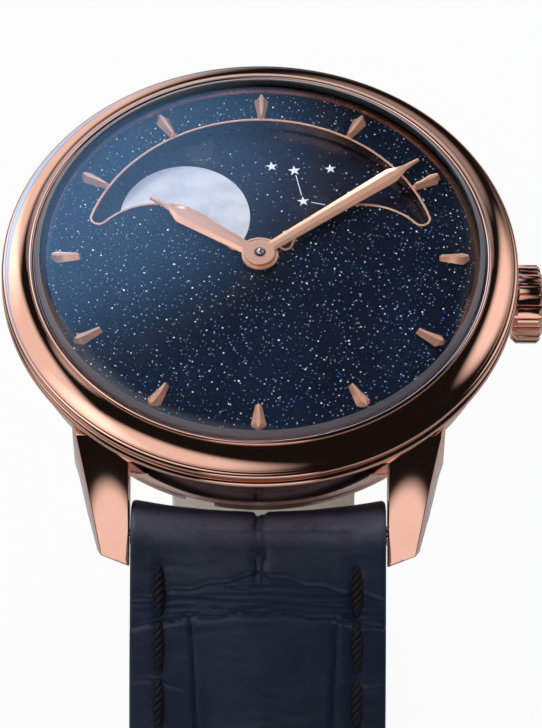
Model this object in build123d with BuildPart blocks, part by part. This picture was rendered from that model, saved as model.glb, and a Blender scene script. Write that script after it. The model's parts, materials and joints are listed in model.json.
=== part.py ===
from build123d import *

import os
from math import acos, atan2, cos, degrees, hypot, pi, radians, sin, sqrt, tan

os.makedirs("parts", exist_ok=True)

# Driving dimensions. Heights are from the outer face of the case back, the dial faces +Z,
# 12 o'clock is +Y and the crown is on +X.
case_radius = 19.0
band_top_inset = 0.7
band_top_radius = case_radius - band_top_inset
band_waist_inset = 1.5
band_waist_radius = case_radius - band_waist_inset
band_foot_inset = 2.25
band_foot_radius = case_radius - band_foot_inset
band_foot_z = 0.95
band_waist_z = 2.5
band_flank_inset = 0.98
band_flank_radius = case_radius - band_flank_inset
band_flank_z = 4.2
bead_low_z = 6.5
bead_high_z = 7.25
mid_case_top = 7.4
bezel_bead_inset = 0.05
bezel_bead_radius = case_radius - bezel_bead_inset
bezel_bead_top = 8.1
bezel_flank_inset = 0.45
bezel_flank_radius = case_radius - bezel_flank_inset
bezel_brow_z = 9.0
bezel_top = 9.3
dial_top = 8.5
dial_thickness = 0.9
dial_view_inset = 3.3
dial_view_radius = case_radius - dial_view_inset
crystal_edge_z = 9.75
crystal_top = 10.4
crown_z = 3.0
strap_width = 18.3
strap_side_play = 0.3
lug_gap = strap_width + strap_side_play
strap_bar_y = 18.48
strap_bar_z = -0.2
lug_reach = 2.12
lug_tip_y = strap_bar_y + lug_reach
movement_radius = 12.9

# Fits and cuts
loose_fit = 0.05
shaft_fit = 0.02
overrun = 1.0
seal_thickness = 0.3


def at_angle(radius, angle, center=(0, 0)):
    """The point at an angle in degrees on a circle."""
    return (
        center[0] + radius * cos(radians(angle)),
        center[1] + radius * sin(radians(angle)),
    )


def arc_points(radius, first, last, center=(0, 0)):
    """Start, middle and end of an arc between two angles in degrees."""
    return [at_angle(radius, a, center) for a in (first, (first + last) / 2, last)]


def toothed_face(teeth, root, tip, lean_share=0.5):
    """A round face with pointed teeth; a tip smaller than the root points them inwards."""
    pitch_angle = 360 / teeth
    corners = []
    for tooth in range(teeth):
        corners.append(at_angle(root, tooth * pitch_angle))
        corners.append(at_angle(tip, (tooth + lean_share) * pitch_angle))
    with BuildSketch() as outline:
        with BuildLine():
            Polyline(*corners, close=True)
        make_face()
    return outline.sketch


def bar_face(start, end, width):
    """A flat bar with round ends, from one centre to another."""
    with BuildSketch() as bar:
        SlotArc(Edge.make_line(start, end), width)
    return bar.sketch


def spoke_gaps(inner, outer, spokes, width):
    """The openings between the rim, the hub and the spokes of a wheel."""
    with BuildSketch() as gaps:
        Circle(outer)
        Circle(inner, mode=Mode.SUBTRACT)
        with PolarLocations(outer / 2, spokes):
            Rectangle(outer, width, mode=Mode.SUBTRACT)
    return gaps.sketch


# Mid-case with its four lugs
cavity_wall = 3.7
cavity_radius = case_radius - cavity_wall
back_bore_wall = 3.2
back_bore_radius = case_radius - back_bore_wall
back_bore_depth = 0.95
bead_slope = 0.22
bead_neck_inset = 0.5
bead_neck_radius = case_radius - bead_neck_inset
back_bore_top = band_foot_z + back_bore_depth

lug_root_y = 13.0
lug_brow_y = 14.2
lug_brow_z = 6.3
lug_shoulder_y = 17.75
lug_shoulder_z = 2.7
lug_tip_drop = 0.9
lug_tip_z = strap_bar_z - lug_tip_drop
lug_foot_z = band_foot_z
lug_toe_inset = 0.3
lug_toe_y = lug_tip_y - lug_toe_inset
lug_toe_drop = 0.8
lug_toe_z = lug_tip_z - lug_toe_drop
lug_arch_y = 14.2
lug_heel_y = 16.4
lug_heel_z = -0.7
lug_root_width = 4.1
lug_outer_root = lug_gap / 2 + lug_root_width
lug_tip_width = 2.15
lug_outer_tip = lug_gap / 2 + lug_tip_width
lug_tip_slant = 0.9
lug_bevel = 0.35
bar_hole_radius = 0.45
bar_hole_depth = 1.2
tube_bore_radius = 1.05

with BuildPart() as lug_block:
    with BuildSketch(Plane.YZ.offset(lug_gap / 2)):
        with BuildLine():
            Polyline(
                (-lug_tip_y, lug_tip_z),
                (-lug_toe_y, lug_toe_z),
                (-lug_heel_y, lug_heel_z),
                (-lug_arch_y, lug_foot_z),
                (-lug_root_y, lug_foot_z),
                (-lug_root_y, lug_brow_z),
                (-lug_brow_y, lug_brow_z),
            )
            ThreePointArc(
                (-lug_brow_y, lug_brow_z),
                (-lug_shoulder_y, lug_shoulder_z),
                (-lug_tip_y, lug_tip_z),
            )
        make_face()
    extrude(amount=lug_outer_root - lug_gap / 2)
    with BuildSketch(Plane.XY.offset(lug_toe_z)):
        with BuildLine():
            Polyline(
                (lug_gap / 2, -lug_tip_y),
                (lug_outer_tip, lug_tip_slant - lug_tip_y),
                (lug_outer_root, -lug_root_y),
                (lug_gap / 2, -lug_root_y),
                close=True,
            )
        make_face()
    extrude(amount=lug_brow_z - lug_toe_z + overrun, mode=Mode.INTERSECT)
    chamfer(
        lug_block.faces().filter_by(GeomType.CYLINDER).edges().sort_by(Axis.X)[-1],
        lug_bevel,
    )

with BuildPart() as case_middle:
    with BuildSketch(Plane.XZ):
        with BuildLine():
            Polyline(
                (back_bore_radius, band_foot_z),
                (band_foot_radius, band_foot_z),
                (band_waist_radius, band_waist_z),
                (band_flank_radius, band_flank_z),
                (band_top_radius, bead_low_z),
                (case_radius, bead_low_z + bead_slope),
                (case_radius, bead_high_z - bead_slope),
                (bead_neck_radius, mid_case_top),
                (cavity_radius, mid_case_top),
                (cavity_radius, back_bore_top),
                (back_bore_radius, back_bore_top),
                close=True,
            )
        make_face()
    revolve(axis=Axis.Z)
    add(lug_block.part)
    add(mirror(lug_block.part, about=Plane.YZ, mode=Mode.PRIVATE))
    add(mirror(lug_block.part, about=Plane.XZ, mode=Mode.PRIVATE))
    add(lug_block.part.rotate(Axis.Z, 180))
    with BuildSketch(Plane.XY.offset(back_bore_top)):
        Circle(cavity_radius)
    extrude(amount=mid_case_top, mode=Mode.SUBTRACT)
    with BuildSketch():
        Circle(back_bore_radius)
    extrude(amount=back_bore_top, mode=Mode.SUBTRACT)
    for side in (-1, 1):
        with BuildSketch(Plane.YZ.offset(-lug_gap / 2 - bar_hole_depth)):
            with Locations((side * strap_bar_y, strap_bar_z)):
                Circle(bar_hole_radius)
        extrude(amount=lug_gap + 2 * bar_hole_depth, mode=Mode.SUBTRACT)
    with BuildSketch(Plane.YZ.offset(cavity_radius - overrun)):
        with Locations((0, crown_z)):
            Circle(tube_bore_radius)
    extrude(amount=case_radius, mode=Mode.SUBTRACT)
case_middle.part.label = "case_middle"
export_step(case_middle.part, "parts/case_middle.step")

# Bezel: a lower bead, a hollow flank and a thin top bead round the crystal
bezel_bead_low = 7.5
bezel_bead_slope = 0.2
bezel_step = 0.05
bezel_hollow = 0.13
top_bead_width = 0.4
crystal_seat_wall = 2.5
crystal_seat_radius = case_radius - crystal_seat_wall
top_bead_inner = crystal_seat_radius + bezel_step
top_bead_outer = top_bead_inner + top_bead_width
bezel_brow_radius = top_bead_outer + bezel_step
crystal_seat_z = 8.75
crystal_shelf = 0.5
bezel_bore_radius = crystal_seat_radius - crystal_shelf
top_bead_mid = (top_bead_outer + top_bead_inner) / 2
top_bead_root = bezel_brow_z + bezel_step
flank_mid = ((bezel_flank_radius + bezel_brow_radius) / 2, (bezel_bead_top + bezel_brow_z) / 2)
flank_run = hypot(bezel_flank_radius - bezel_brow_radius, bezel_brow_z - bezel_bead_top)
flank_low = (
    flank_mid[0] - bezel_hollow * (bezel_brow_z - bezel_bead_top) / flank_run,
    flank_mid[1] - bezel_hollow * (bezel_flank_radius - bezel_brow_radius) / flank_run,
)

with BuildPart() as bezel:
    with BuildSketch(Plane.XZ):
        with BuildLine():
            Polyline(
                (bezel_bore_radius, mid_case_top),
                (bead_neck_radius, mid_case_top),
                (bezel_bead_radius, bezel_bead_low + bezel_bead_slope),
                (bezel_bead_radius, bezel_bead_top - bezel_bead_slope),
                (bezel_flank_radius, bezel_bead_top),
                flank_low,
                (top_bead_outer, bezel_brow_z),
                (top_bead_mid, bezel_top),
                (crystal_seat_radius, top_bead_root),
                (crystal_seat_radius, crystal_seat_z),
                (bezel_bore_radius, crystal_seat_z),
                close=True,
            )
        make_face()
    revolve(axis=Axis.Z)
bezel.part.label = "bezel"
export_step(bezel.part, "parts/bezel.step")

# Domed crystal on its foot, with the seal round the foot
crystal_foot_lap = 0.2
crystal_foot_inner = bezel_bore_radius - crystal_foot_lap
crystal_radius = crystal_seat_radius - loose_fit
crystal_foot_outer = crystal_seat_radius - seal_thickness
crystal_lip_z = top_bead_root + shaft_fit
crystal_bevel_low = 9.45
crystal_bevel_width = 0.41
crystal_bevel_radius = crystal_radius - crystal_bevel_width
crystal_under = 9.55
dome_share = 0.5
dome_drop_share = dome_share**2

with BuildPart() as crystal:
    with BuildSketch(Plane.XZ):
        with BuildLine():
            Polyline(
                (0, crystal_top),
                (
                    crystal_bevel_radius * dome_share,
                    crystal_top - (crystal_top - crystal_edge_z) * dome_drop_share,
                ),
                (crystal_bevel_radius, crystal_edge_z),
                (crystal_radius, crystal_bevel_low),
                (crystal_radius, crystal_lip_z),
                (crystal_foot_outer, crystal_lip_z),
                (crystal_foot_outer, crystal_seat_z),
                (crystal_foot_inner, crystal_seat_z),
                (crystal_foot_inner, crystal_under),
                (0, crystal_under),
                close=True,
            )
        make_face()
    revolve(axis=Axis.Z)
crystal.part.label = "crystal"
export_step(crystal.part, "parts/crystal.step")

with BuildPart() as crystal_seal:
    with BuildSketch(Plane.XY.offset(crystal_seat_z)):
        Circle(crystal_seat_radius)
        Circle(crystal_foot_outer, mode=Mode.SUBTRACT)
    extrude(amount=top_bead_root - crystal_seat_z)
crystal_seal.part.label = "crystal_seal"
export_step(crystal_seal.part, "parts/crystal_seal.step")

# Sloped flange between the dial and the crystal
flange_outer = bezel_bore_radius - shaft_fit
with BuildPart() as flange_ring:
    with BuildSketch(Plane.XZ):
        with BuildLine():
            Polyline(
                (dial_view_radius, dial_top),
                (flange_outer, dial_top),
                (flange_outer, crystal_seat_z),
                (crystal_foot_inner, crystal_seat_z),
                close=True,
            )
        make_face()
    revolve(axis=Axis.Z)
flange_ring.part.label = "flange_ring"
export_step(flange_ring.part, "parts/flange_ring.step")

# Crescent opening: an outer arc about the hands' axis, two humps below and a boss between,
# joined by small rounded tips and cusps
window_inset = 2.75
window_radius = dial_view_radius - window_inset
window_hump_share = 0.4247
window_hump_radius = window_radius * window_hump_share
window_hump_across = 0.5791
window_hump_x = window_radius * window_hump_across
window_hump_rise = -0.0332
window_hump_y = window_radius * window_hump_rise
window_boss_radius = 1.85
window_tip_radius = 0.5
window_cusp_radius = 0.38
window_rim = 0.2
rim_proud = 0.08
hump_reach = hypot(window_hump_x, window_hump_y)
hump_angle = degrees(atan2(window_hump_y, window_hump_x))


def angle_from_origin(from_origin, from_hump):
    """Bearing of a point at these distances from the hands' axis and the hump's centre."""
    share = (from_origin**2 + hump_reach**2 - from_hump**2) / (2 * from_origin * hump_reach)
    return hump_angle + degrees(acos(share))


def bearing(start, end):
    return degrees(atan2(end[1] - start[1], end[0] - start[0]))


def window_face(grow=0):
    """The crescent, moved outwards all round by the given amount."""
    hump = (window_hump_x, window_hump_y)
    tip_reach = window_radius - window_tip_radius
    tip_angle = angle_from_origin(tip_reach, window_hump_radius + window_tip_radius)
    tip = at_angle(tip_reach, tip_angle)
    cusp_reach = window_boss_radius + window_cusp_radius
    cusp_angle = angle_from_origin(cusp_reach, window_hump_radius + window_cusp_radius)
    cusp = at_angle(cusp_reach, cusp_angle)
    tip_out = bearing(hump, tip)
    cusp_out = bearing(hump, cusp)
    with BuildSketch() as crescent:
        with BuildLine() as half:
            ThreePointArc(*arc_points(window_radius + grow, 90, tip_angle))
            ThreePointArc(
                *arc_points(window_tip_radius + grow, tip_angle, tip_out - 180, tip)
            )
            ThreePointArc(
                *arc_points(window_hump_radius - grow, tip_out, cusp_out, hump)
            )
            ThreePointArc(
                *arc_points(window_cusp_radius + grow, cusp_out - 180, cusp_angle - 180, cusp)
            )
            ThreePointArc(*arc_points(window_boss_radius - grow, cusp_angle, 90))
            mirror(about=Plane.YZ)
        make_face()
    return crescent.sketch


# Dial: an aventurine glass face on a metal base, both open at the crescent
dial_radius = bezel_bore_radius - loose_fit
dial_glass_thickness = 0.4
dial_bore = 0.95
dial_low = dial_top - dial_thickness
crescent_cut = window_face(window_rim)

with BuildPart() as dial_base:
    with BuildSketch(Plane.XY.offset(dial_low)):
        Circle(dial_radius)
        Circle(dial_bore, mode=Mode.SUBTRACT)
        add(crescent_cut, mode=Mode.SUBTRACT)
    extrude(amount=dial_thickness - dial_glass_thickness)
dial_base.part.label = "dial_base"
export_step(dial_base.part, "parts/dial_base.step")

with BuildPart() as dial:
    with BuildSketch(Plane.XY.offset(dial_top - dial_glass_thickness)):
        Circle(dial_radius)
        Circle(dial_bore, mode=Mode.SUBTRACT)
        add(crescent_cut, mode=Mode.SUBTRACT)
    extrude(amount=dial_glass_thickness)
dial.part.label = "dial"
export_step(dial.part, "parts/dial.step")

with BuildPart() as window_frame:
    with BuildSketch(Plane.XY.offset(dial_low)):
        add(crescent_cut)
        add(window_face(), mode=Mode.SUBTRACT)
    extrude(amount=dial_thickness + rim_proud)
window_frame.part.label = "window_frame"
export_step(window_frame.part, "parts/window_frame.step")

# Twelve faceted hour markers
marker_count = 12
marker_length = 2.23
marker_taper = 0.51
marker_rim_gap = 0.34
marker_outer = dial_view_radius - marker_rim_gap
marker_wide = marker_outer - marker_taper
marker_inner = marker_outer - marker_length
marker_inner_half = 0.24
marker_wide_half = 0.56
marker_outer_half = 0.13
marker_facet_half = 0.15
marker_height = 0.42
marker_inset = 0.14


def marker_face(inner, outer, inner_half, wide_half, outer_half):
    with BuildSketch() as kite:
        with BuildLine():
            Polyline(
                (inner, -inner_half),
                (marker_wide, -wide_half),
                (outer, -outer_half),
                (outer, outer_half),
                (marker_wide, wide_half),
                (inner, inner_half),
                close=True,
            )
        make_face()
    return kite.sketch


with BuildPart() as hour_markers:
    with BuildSketch(Plane.XY.offset(dial_top)):
        add(
            marker_face(
                marker_inner, marker_outer, marker_inner_half, marker_wide_half, marker_outer_half
            )
        )
    with BuildSketch(Plane.XY.offset(dial_top + marker_height)):
        add(
            marker_face(
                marker_inner + marker_inset,
                marker_outer - marker_inset,
                marker_facet_half / 2,
                marker_facet_half,
                marker_facet_half / 2,
            )
        )
    loft(ruled=True)
    first_marker = hour_markers.part
    for step in range(1, marker_count):
        add(first_marker.rotate(Axis.Z, 360 * step / marker_count))
hour_markers.part.label = "hour_markers"
export_step(hour_markers.part, "parts/hour_markers.step")

# Moon disc under the dial, with two mother-of-pearl moons and a ring of 59 inward teeth
moon_disc_lap = 0.6
moon_disc_radius = window_radius + moon_disc_lap
moon_disc_thickness = 0.25
moon_disc_gap = 0.15
moon_boss_radius = 1.5
moon_radius = 4.85
moon_pitch_radius = 7.2
moon_angle = 141
moon_thickness = 0.15
moon_proud = 0.05
moon_teeth = 59
moon_ring_outer = 10.2
moon_ring_root = 9.6
moon_ring_tip = 9.3
moon_ring_height = 0.45
moon_disc_top = dial_low - moon_disc_gap
moon_disc_low = moon_disc_top - moon_disc_thickness
moon_floor = moon_disc_top + moon_proud - moon_thickness

moon_ring_hole = toothed_face(moon_teeth, moon_ring_root, moon_ring_tip)

with BuildPart() as moon_disc:
    with BuildSketch(Plane.XY.offset(moon_disc_low - moon_ring_height)):
        Circle(moon_ring_outer)
        add(moon_ring_hole, mode=Mode.SUBTRACT)
    extrude(amount=moon_ring_height)
    with BuildSketch(Plane.XY.offset(moon_disc_low)):
        Circle(moon_disc_radius)
        Circle(moon_boss_radius + loose_fit, mode=Mode.SUBTRACT)
    extrude(amount=moon_disc_thickness)
    with BuildSketch(Plane.XY.offset(moon_floor)):
        with PolarLocations(moon_pitch_radius, 2, start_angle=moon_angle):
            Circle(moon_radius)
    extrude(amount=moon_thickness, mode=Mode.SUBTRACT)
moon_disc.part.label = "moon_disc"
export_step(moon_disc.part, "parts/moon_disc.step")

with BuildPart() as moons:
    with BuildSketch(Plane.XY.offset(moon_floor)):
        with PolarLocations(moon_pitch_radius, 2, start_angle=moon_angle):
            Circle(moon_radius - shaft_fit)
    extrude(amount=moon_thickness)
moons.part.label = "moons"
export_step(moons.part, "parts/moons.step")

# Hands: a flat top facet with a long bevel each side, on a round hub
hour_hand_z = 8.8
minute_hand_z = 9.06
hand_edge = 0.07
hand_thickness = 0.16
hour_hand_angle = 147
minute_hand_angle = 36.9
hour_hand_length = 9.7
hour_shoulder_at = 6.9
hour_shoulder_half = 0.8
hour_neck_at = 7.9
hour_root_half = 0.5
hour_hub_radius = 1.35
hour_pipe_radius = 0.8
minute_hand_length = 14.68
minute_shoulder_at = 12.1
minute_shoulder_half = 0.66
minute_neck_at = 13.4
minute_root_half = 0.42
minute_hub_radius = 1.1
hand_neck_half = 0.24
hand_tip_half = 0.14
hand_facet_share = 0.4
cannon_radius = 0.42


def hand_face(length, shoulder_at, shoulder_half, neck_at, root_half, width_share=1):
    """A hand's outline pointing along +X, with every width taken as a share."""
    half_widths = [
        (0, root_half),
        (shoulder_at, shoulder_half),
        (neck_at, hand_neck_half),
        (length, hand_tip_half),
    ]
    upper = [(at, half * width_share) for at, half in half_widths]
    lower = [(at, -half) for at, half in reversed(upper)]
    with BuildSketch() as outline:
        with BuildLine():
            Polyline(*upper, *lower, close=True)
        make_face()
    return outline.sketch


hour_outline = (hour_hand_length, hour_shoulder_at, hour_shoulder_half, hour_neck_at, hour_root_half)
minute_outline = (
    minute_hand_length,
    minute_shoulder_at,
    minute_shoulder_half,
    minute_neck_at,
    minute_root_half,
)

with BuildPart() as hour_blade:
    with BuildSketch(Plane.XY.offset(hour_hand_z)):
        add(hand_face(*hour_outline))
    extrude(amount=hand_edge)
    with BuildSketch(Plane.XY.offset(hour_hand_z + hand_edge)):
        add(hand_face(*hour_outline))
    with BuildSketch(Plane.XY.offset(hour_hand_z + hand_thickness)):
        add(hand_face(*hour_outline, hand_facet_share))
    loft(ruled=True)

with BuildPart() as hour_hand:
    add(hour_blade.part.rotate(Axis.Z, hour_hand_angle))
    with BuildSketch(Plane.XY.offset(hour_hand_z)):
        Circle(hour_hub_radius)
    extrude(amount=hand_thickness)
    with BuildSketch(Plane.XY.offset(hour_hand_z)):
        Circle(hour_pipe_radius)
    extrude(amount=hand_thickness, mode=Mode.SUBTRACT)
hour_hand.part.label = "hour_hand"
export_step(hour_hand.part, "parts/hour_hand.step")

with BuildPart() as minute_blade:
    with BuildSketch(Plane.XY.offset(minute_hand_z)):
        add(hand_face(*minute_outline))
    extrude(amount=hand_edge)
    with BuildSketch(Plane.XY.offset(minute_hand_z + hand_edge)):
        add(hand_face(*minute_outline))
    with BuildSketch(Plane.XY.offset(minute_hand_z + hand_thickness)):
        add(hand_face(*minute_outline, hand_facet_share))
    loft(ruled=True)

with BuildPart() as minute_hand:
    add(minute_blade.part.rotate(Axis.Z, minute_hand_angle))
    with BuildSketch(Plane.XY.offset(minute_hand_z)):
        Circle(minute_hub_radius)
    extrude(amount=hand_thickness)
    with BuildSketch(Plane.XY.offset(minute_hand_z)):
        Circle(cannon_radius)
    extrude(amount=hand_thickness, mode=Mode.SUBTRACT)
minute_hand.part.label = "minute_hand"
export_step(minute_hand.part, "parts/minute_hand.step")

# Case back: a threaded ring with key notches, its crystal and two seals
back_ring_inset = 2.4
back_ring_radius = case_radius - back_ring_inset
back_neck_radius = back_bore_radius - loose_fit
back_neck_top = back_bore_top - loose_fit
back_wall = 2.65
back_seat_radius = back_neck_radius - back_wall
back_ledge_width = 0.7
back_view_radius = back_seat_radius - back_ledge_width
back_seal_width = 0.75
back_seal_inner = back_neck_radius - back_seal_width
back_ledge = 0.3
back_crystal_thickness = 0.95
back_ledge_top = back_crystal_thickness + back_ledge
back_notches = 6
back_notch_width = 2.2
back_notch_angle = 15
back_notch_depth = 0.7
back_edge_break = 0.25

with BuildPart() as case_back:
    with BuildSketch(Plane.XZ):
        with BuildLine():
            Polyline(
                (back_seat_radius, 0),
                (back_ring_radius - back_edge_break, 0),
                (back_ring_radius, back_edge_break),
                (back_ring_radius, band_foot_z),
                (back_neck_radius, band_foot_z),
                (back_neck_radius, back_neck_top - seal_thickness),
                (back_seal_inner, back_neck_top - seal_thickness),
                (back_seal_inner, back_neck_top),
                (back_seat_radius, back_neck_top),
                (back_seat_radius, back_ledge_top),
                (back_view_radius, back_ledge_top),
                (back_view_radius, back_crystal_thickness),
                (back_seat_radius, back_crystal_thickness),
                close=True,
            )
        make_face()
    revolve(axis=Axis.Z)
    with BuildSketch():
        with PolarLocations(back_ring_radius, back_notches, start_angle=back_notch_angle):
            Rectangle(2 * back_notch_depth, back_notch_width)
    extrude(amount=back_notch_depth, mode=Mode.SUBTRACT)
case_back.part.label = "case_back"
export_step(case_back.part, "parts/case_back.step")

with BuildPart() as back_crystal:
    with BuildSketch():
        Circle(back_seat_radius - seal_thickness)
    extrude(amount=back_crystal_thickness)
back_crystal.part.label = "back_crystal"
export_step(back_crystal.part, "parts/back_crystal.step")

with BuildPart() as back_seals:
    with BuildSketch():
        Circle(back_seat_radius)
        Circle(back_seat_radius - seal_thickness, mode=Mode.SUBTRACT)
    extrude(amount=back_crystal_thickness)
    with BuildSketch(Plane.XY.offset(back_neck_top - seal_thickness)):
        Circle(back_neck_radius)
        Circle(back_seal_inner, mode=Mode.SUBTRACT)
    extrude(amount=seal_thickness)
back_seals.part.label = "back_seals"
export_step(back_seals.part, "parts/back_seals.step")

# Crown with its flutes, hollow over the crown tube
crown_radius = 2.93
crown_overlap = 0.35
crown_inner_x = case_radius - crown_overlap
crown_height = 2.3
crown_outer_x = crown_inner_x + crown_height
crown_dome = 0.18
crown_dome_taper = 45
crown_edge_break = 0.22
crown_inner_break = 0.36
crown_flutes = 22
crown_flute_depth = 0.3
crown_flute_share = 0.42
crown_flute_side = 75
crown_cup_radius = 1.75
crown_cup_depth = 1.5
stem_radius = 0.5
tube_wall = 0.35
tube_radius = tube_bore_radius - shaft_fit
tube_inner_x = cavity_radius + loose_fit
tube_outer_x = crown_inner_x + crown_cup_depth - loose_fit - seal_thickness
crown_plane = Plane(origin=(crown_inner_x, 0, crown_z), x_dir=(0, 1, 0), z_dir=(1, 0, 0))
crown_length = crown_outer_x - crown_inner_x
flute_width = 2 * pi * crown_radius * crown_flute_share / crown_flutes
flute_mouth = flute_width + 2 * crown_flute_depth / tan(radians(crown_flute_side))

with BuildPart() as crown:
    with BuildSketch(crown_plane):
        Circle(crown_radius)
    extrude(amount=crown_length - crown_dome)
    chamfer(crown.edges().sort_by(Axis.X)[-1], crown_edge_break)
    chamfer(crown.edges().sort_by(Axis.X)[0], crown_inner_break)
    with BuildSketch(crown_plane):
        with PolarLocations(crown_radius, crown_flutes):
            Trapezoid(flute_mouth, 2 * crown_flute_depth, crown_flute_side, rotation=90)
    extrude(amount=crown_length, mode=Mode.SUBTRACT)
    with BuildSketch(crown_plane.offset(crown_length - crown_dome)):
        Circle(crown_radius - crown_flute_depth - crown_edge_break)
    extrude(amount=crown_dome, taper=crown_dome_taper)
    with BuildSketch(crown_plane):
        Circle(crown_cup_radius)
    extrude(amount=crown_cup_depth, mode=Mode.SUBTRACT)
crown.part.label = "crown"
export_step(crown.part, "parts/crown.step")

with BuildPart() as crown_tube:
    with BuildSketch(Plane.YZ.offset(tube_inner_x)):
        with Locations((0, crown_z)):
            Circle(tube_radius)
            Circle(tube_radius - tube_wall, mode=Mode.SUBTRACT)
    extrude(amount=tube_outer_x - tube_inner_x)
crown_tube.part.label = "crown_tube"
export_step(crown_tube.part, "parts/crown_tube.step")

with BuildPart() as crown_seal:
    with BuildSketch(crown_plane.offset(crown_cup_depth - seal_thickness)):
        Circle(crown_cup_radius)
        Circle(stem_radius, mode=Mode.SUBTRACT)
    extrude(amount=seal_thickness)
crown_seal.part.label = "crown_seal"
export_step(crown_seal.part, "parts/crown_seal.step")

# Winding stem, with a square for the sliding pinion
stem_square_x = 8.6
stem_square_length = 2.6
stem_pilot_x = 6.7
stem_square_half = 0.27
stem_pilot_radius = 0.25

with BuildPart() as winding_stem:
    with BuildSketch(Plane.YZ.offset(stem_square_x + stem_square_length)):
        with Locations((0, crown_z)):
            Circle(stem_radius)
    extrude(amount=crown_inner_x + crown_cup_depth - stem_square_x - stem_square_length)
    with BuildSketch(Plane.YZ.offset(stem_square_x)):
        with Locations((0, crown_z)):
            Rectangle(2 * stem_square_half, 2 * stem_square_half)
    extrude(amount=stem_square_length)
    with BuildSketch(Plane.YZ.offset(stem_pilot_x)):
        with Locations((0, crown_z)):
            Circle(stem_pilot_radius)
    extrude(amount=stem_square_x - stem_pilot_x)
winding_stem.part.label = "winding_stem"
export_step(winding_stem.part, "parts/winding_stem.step")

# Heights inside the movement, from the rotor up to the dial
rotor_z = 1.5
rotor_plate = 0.22
rotor_rim = 0.6
bridge_z = 2.35
bridge_thickness = 0.7
plate_z = 4.05
plate_thickness = 1.3
bridge_top = bridge_z + bridge_thickness
plate_top = plate_z + plate_thickness
wheel_thickness = 0.16
wheel_pitch = 0.24
first_layer = bridge_top + loose_fit
jewel_radius = 0.42
jewel_height = 0.28


def mesh_distance(teeth, pinion, module):
    return module * (teeth + pinion) / 2


# Places of the wheels, worked out from the teeth that mesh
barrel_teeth, centre_pinion_teeth, barrel_module = 80, 12, 0.137
centre_teeth, third_pinion_teeth, centre_module = 80, 10, 0.095
third_teeth, fourth_pinion_teeth, third_module = 75, 10, 0.085
fourth_teeth, escape_pinion_teeth, fourth_module = 84, 7, 0.075
escape_teeth = 20
escape_radius = 2.1
barrel_bearing = 75
third_bearing = -55
fourth_bearing = -150
escape_bearing = 180
pallet_reach = 2.5
pallet_bearing = 140
balance_reach = 3.0
balance_bearing = 120
balance_radius = 3.6
barrel_place = at_angle(
    mesh_distance(barrel_teeth, centre_pinion_teeth, barrel_module), barrel_bearing
)
third_place = at_angle(
    mesh_distance(centre_teeth, third_pinion_teeth, centre_module), third_bearing
)
fourth_place = at_angle(
    mesh_distance(third_teeth, fourth_pinion_teeth, third_module), fourth_bearing, third_place
)
escape_place = at_angle(
    mesh_distance(fourth_teeth, escape_pinion_teeth, fourth_module), escape_bearing, fourth_place
)
pallet_place = at_angle(pallet_reach, pallet_bearing, escape_place)
balance_place = at_angle(balance_reach, balance_bearing, pallet_place)
tooth_over_share = 0.5
tooth_under_share = 0.75


def gear_face(teeth, module):
    pitch_radius = teeth * module / 2
    return toothed_face(
        teeth,
        pitch_radius - tooth_under_share * module,
        pitch_radius + tooth_over_share * module,
    )


# Main plate, with a round seat for the barrel and a clear path for the winding parts
barrel_seat_radius = barrel_teeth * barrel_module / 2 + barrel_module
barrel_seat_depth = 0.6
plate_pivots = [(0, 0), third_place, fourth_place, escape_place, pallet_place, balance_place]
centre_hole_radius = 0.6

with BuildPart() as main_plate:
    with BuildSketch(Plane.XY.offset(plate_z)):
        Circle(movement_radius)
        Circle(centre_hole_radius, mode=Mode.SUBTRACT)
        with Locations(barrel_place):
            Circle(centre_hole_radius, mode=Mode.SUBTRACT)
        with Locations(*plate_pivots[1:]):
            Circle(jewel_radius, mode=Mode.SUBTRACT)
    extrude(amount=plate_thickness)
    with BuildSketch(Plane.XY.offset(plate_z)):
        with Locations(barrel_place):
            Circle(barrel_seat_radius)
    extrude(amount=barrel_seat_depth, mode=Mode.SUBTRACT)
main_plate.part.label = "main_plate"
export_step(main_plate.part, "parts/main_plate.step")

# Holder ring between the movement and the case, carrying the dial
holder_radius = cavity_radius - loose_fit
holder_inner = movement_radius + loose_fit
holder_low = bridge_z
holder_step_z = 6.4
holder_upper_inner = moon_disc_radius + 2 * loose_fit
stem_slot_width = 2.6

with BuildPart() as movement_holder:
    with BuildSketch(Plane.XY.offset(holder_low)):
        Circle(holder_radius)
        Circle(holder_inner, mode=Mode.SUBTRACT)
    extrude(amount=holder_step_z - holder_low)
    with BuildSketch(Plane.XY.offset(holder_step_z)):
        Circle(holder_radius)
        Circle(holder_upper_inner, mode=Mode.SUBTRACT)
    extrude(amount=dial_low - holder_step_z)
    with BuildSketch(Plane.XY.offset(holder_low)):
        with Locations((holder_radius, 0)):
            Rectangle(2 * (holder_radius - holder_inner) + overrun, stem_slot_width)
    extrude(amount=plate_z - holder_low, mode=Mode.SUBTRACT)
movement_holder.part.label = "movement_holder"
export_step(movement_holder.part, "parts/movement_holder.step")

# Bridges: flat plates that stand on the main plate on feet at its edge
bridge_inset = 0.3
bridge_radius = movement_radius - bridge_inset
bridge_foot_width = 1.0
bridge_foot_radius = bridge_radius - bridge_foot_width
bridge_gap = 0.25
barrel_bridge_edge = -1.4
keyless_edge_x = 6.5
keyless_upper = 0.9
balance_clear = 0.35
ratchet_teeth = 44
crown_wheel_teeth = 25
winding_module = 0.2
ratchet_height = 0.25
wheel_clear = 0.15
ratchet_radius = ratchet_teeth * winding_module / 2
crown_wheel_radius = crown_wheel_teeth * winding_module / 2
ratchet_reach = ratchet_radius + crown_wheel_radius
crown_wheel_place = (barrel_place[0] + sqrt(ratchet_reach**2 - barrel_place[1] ** 2), 0)

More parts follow.
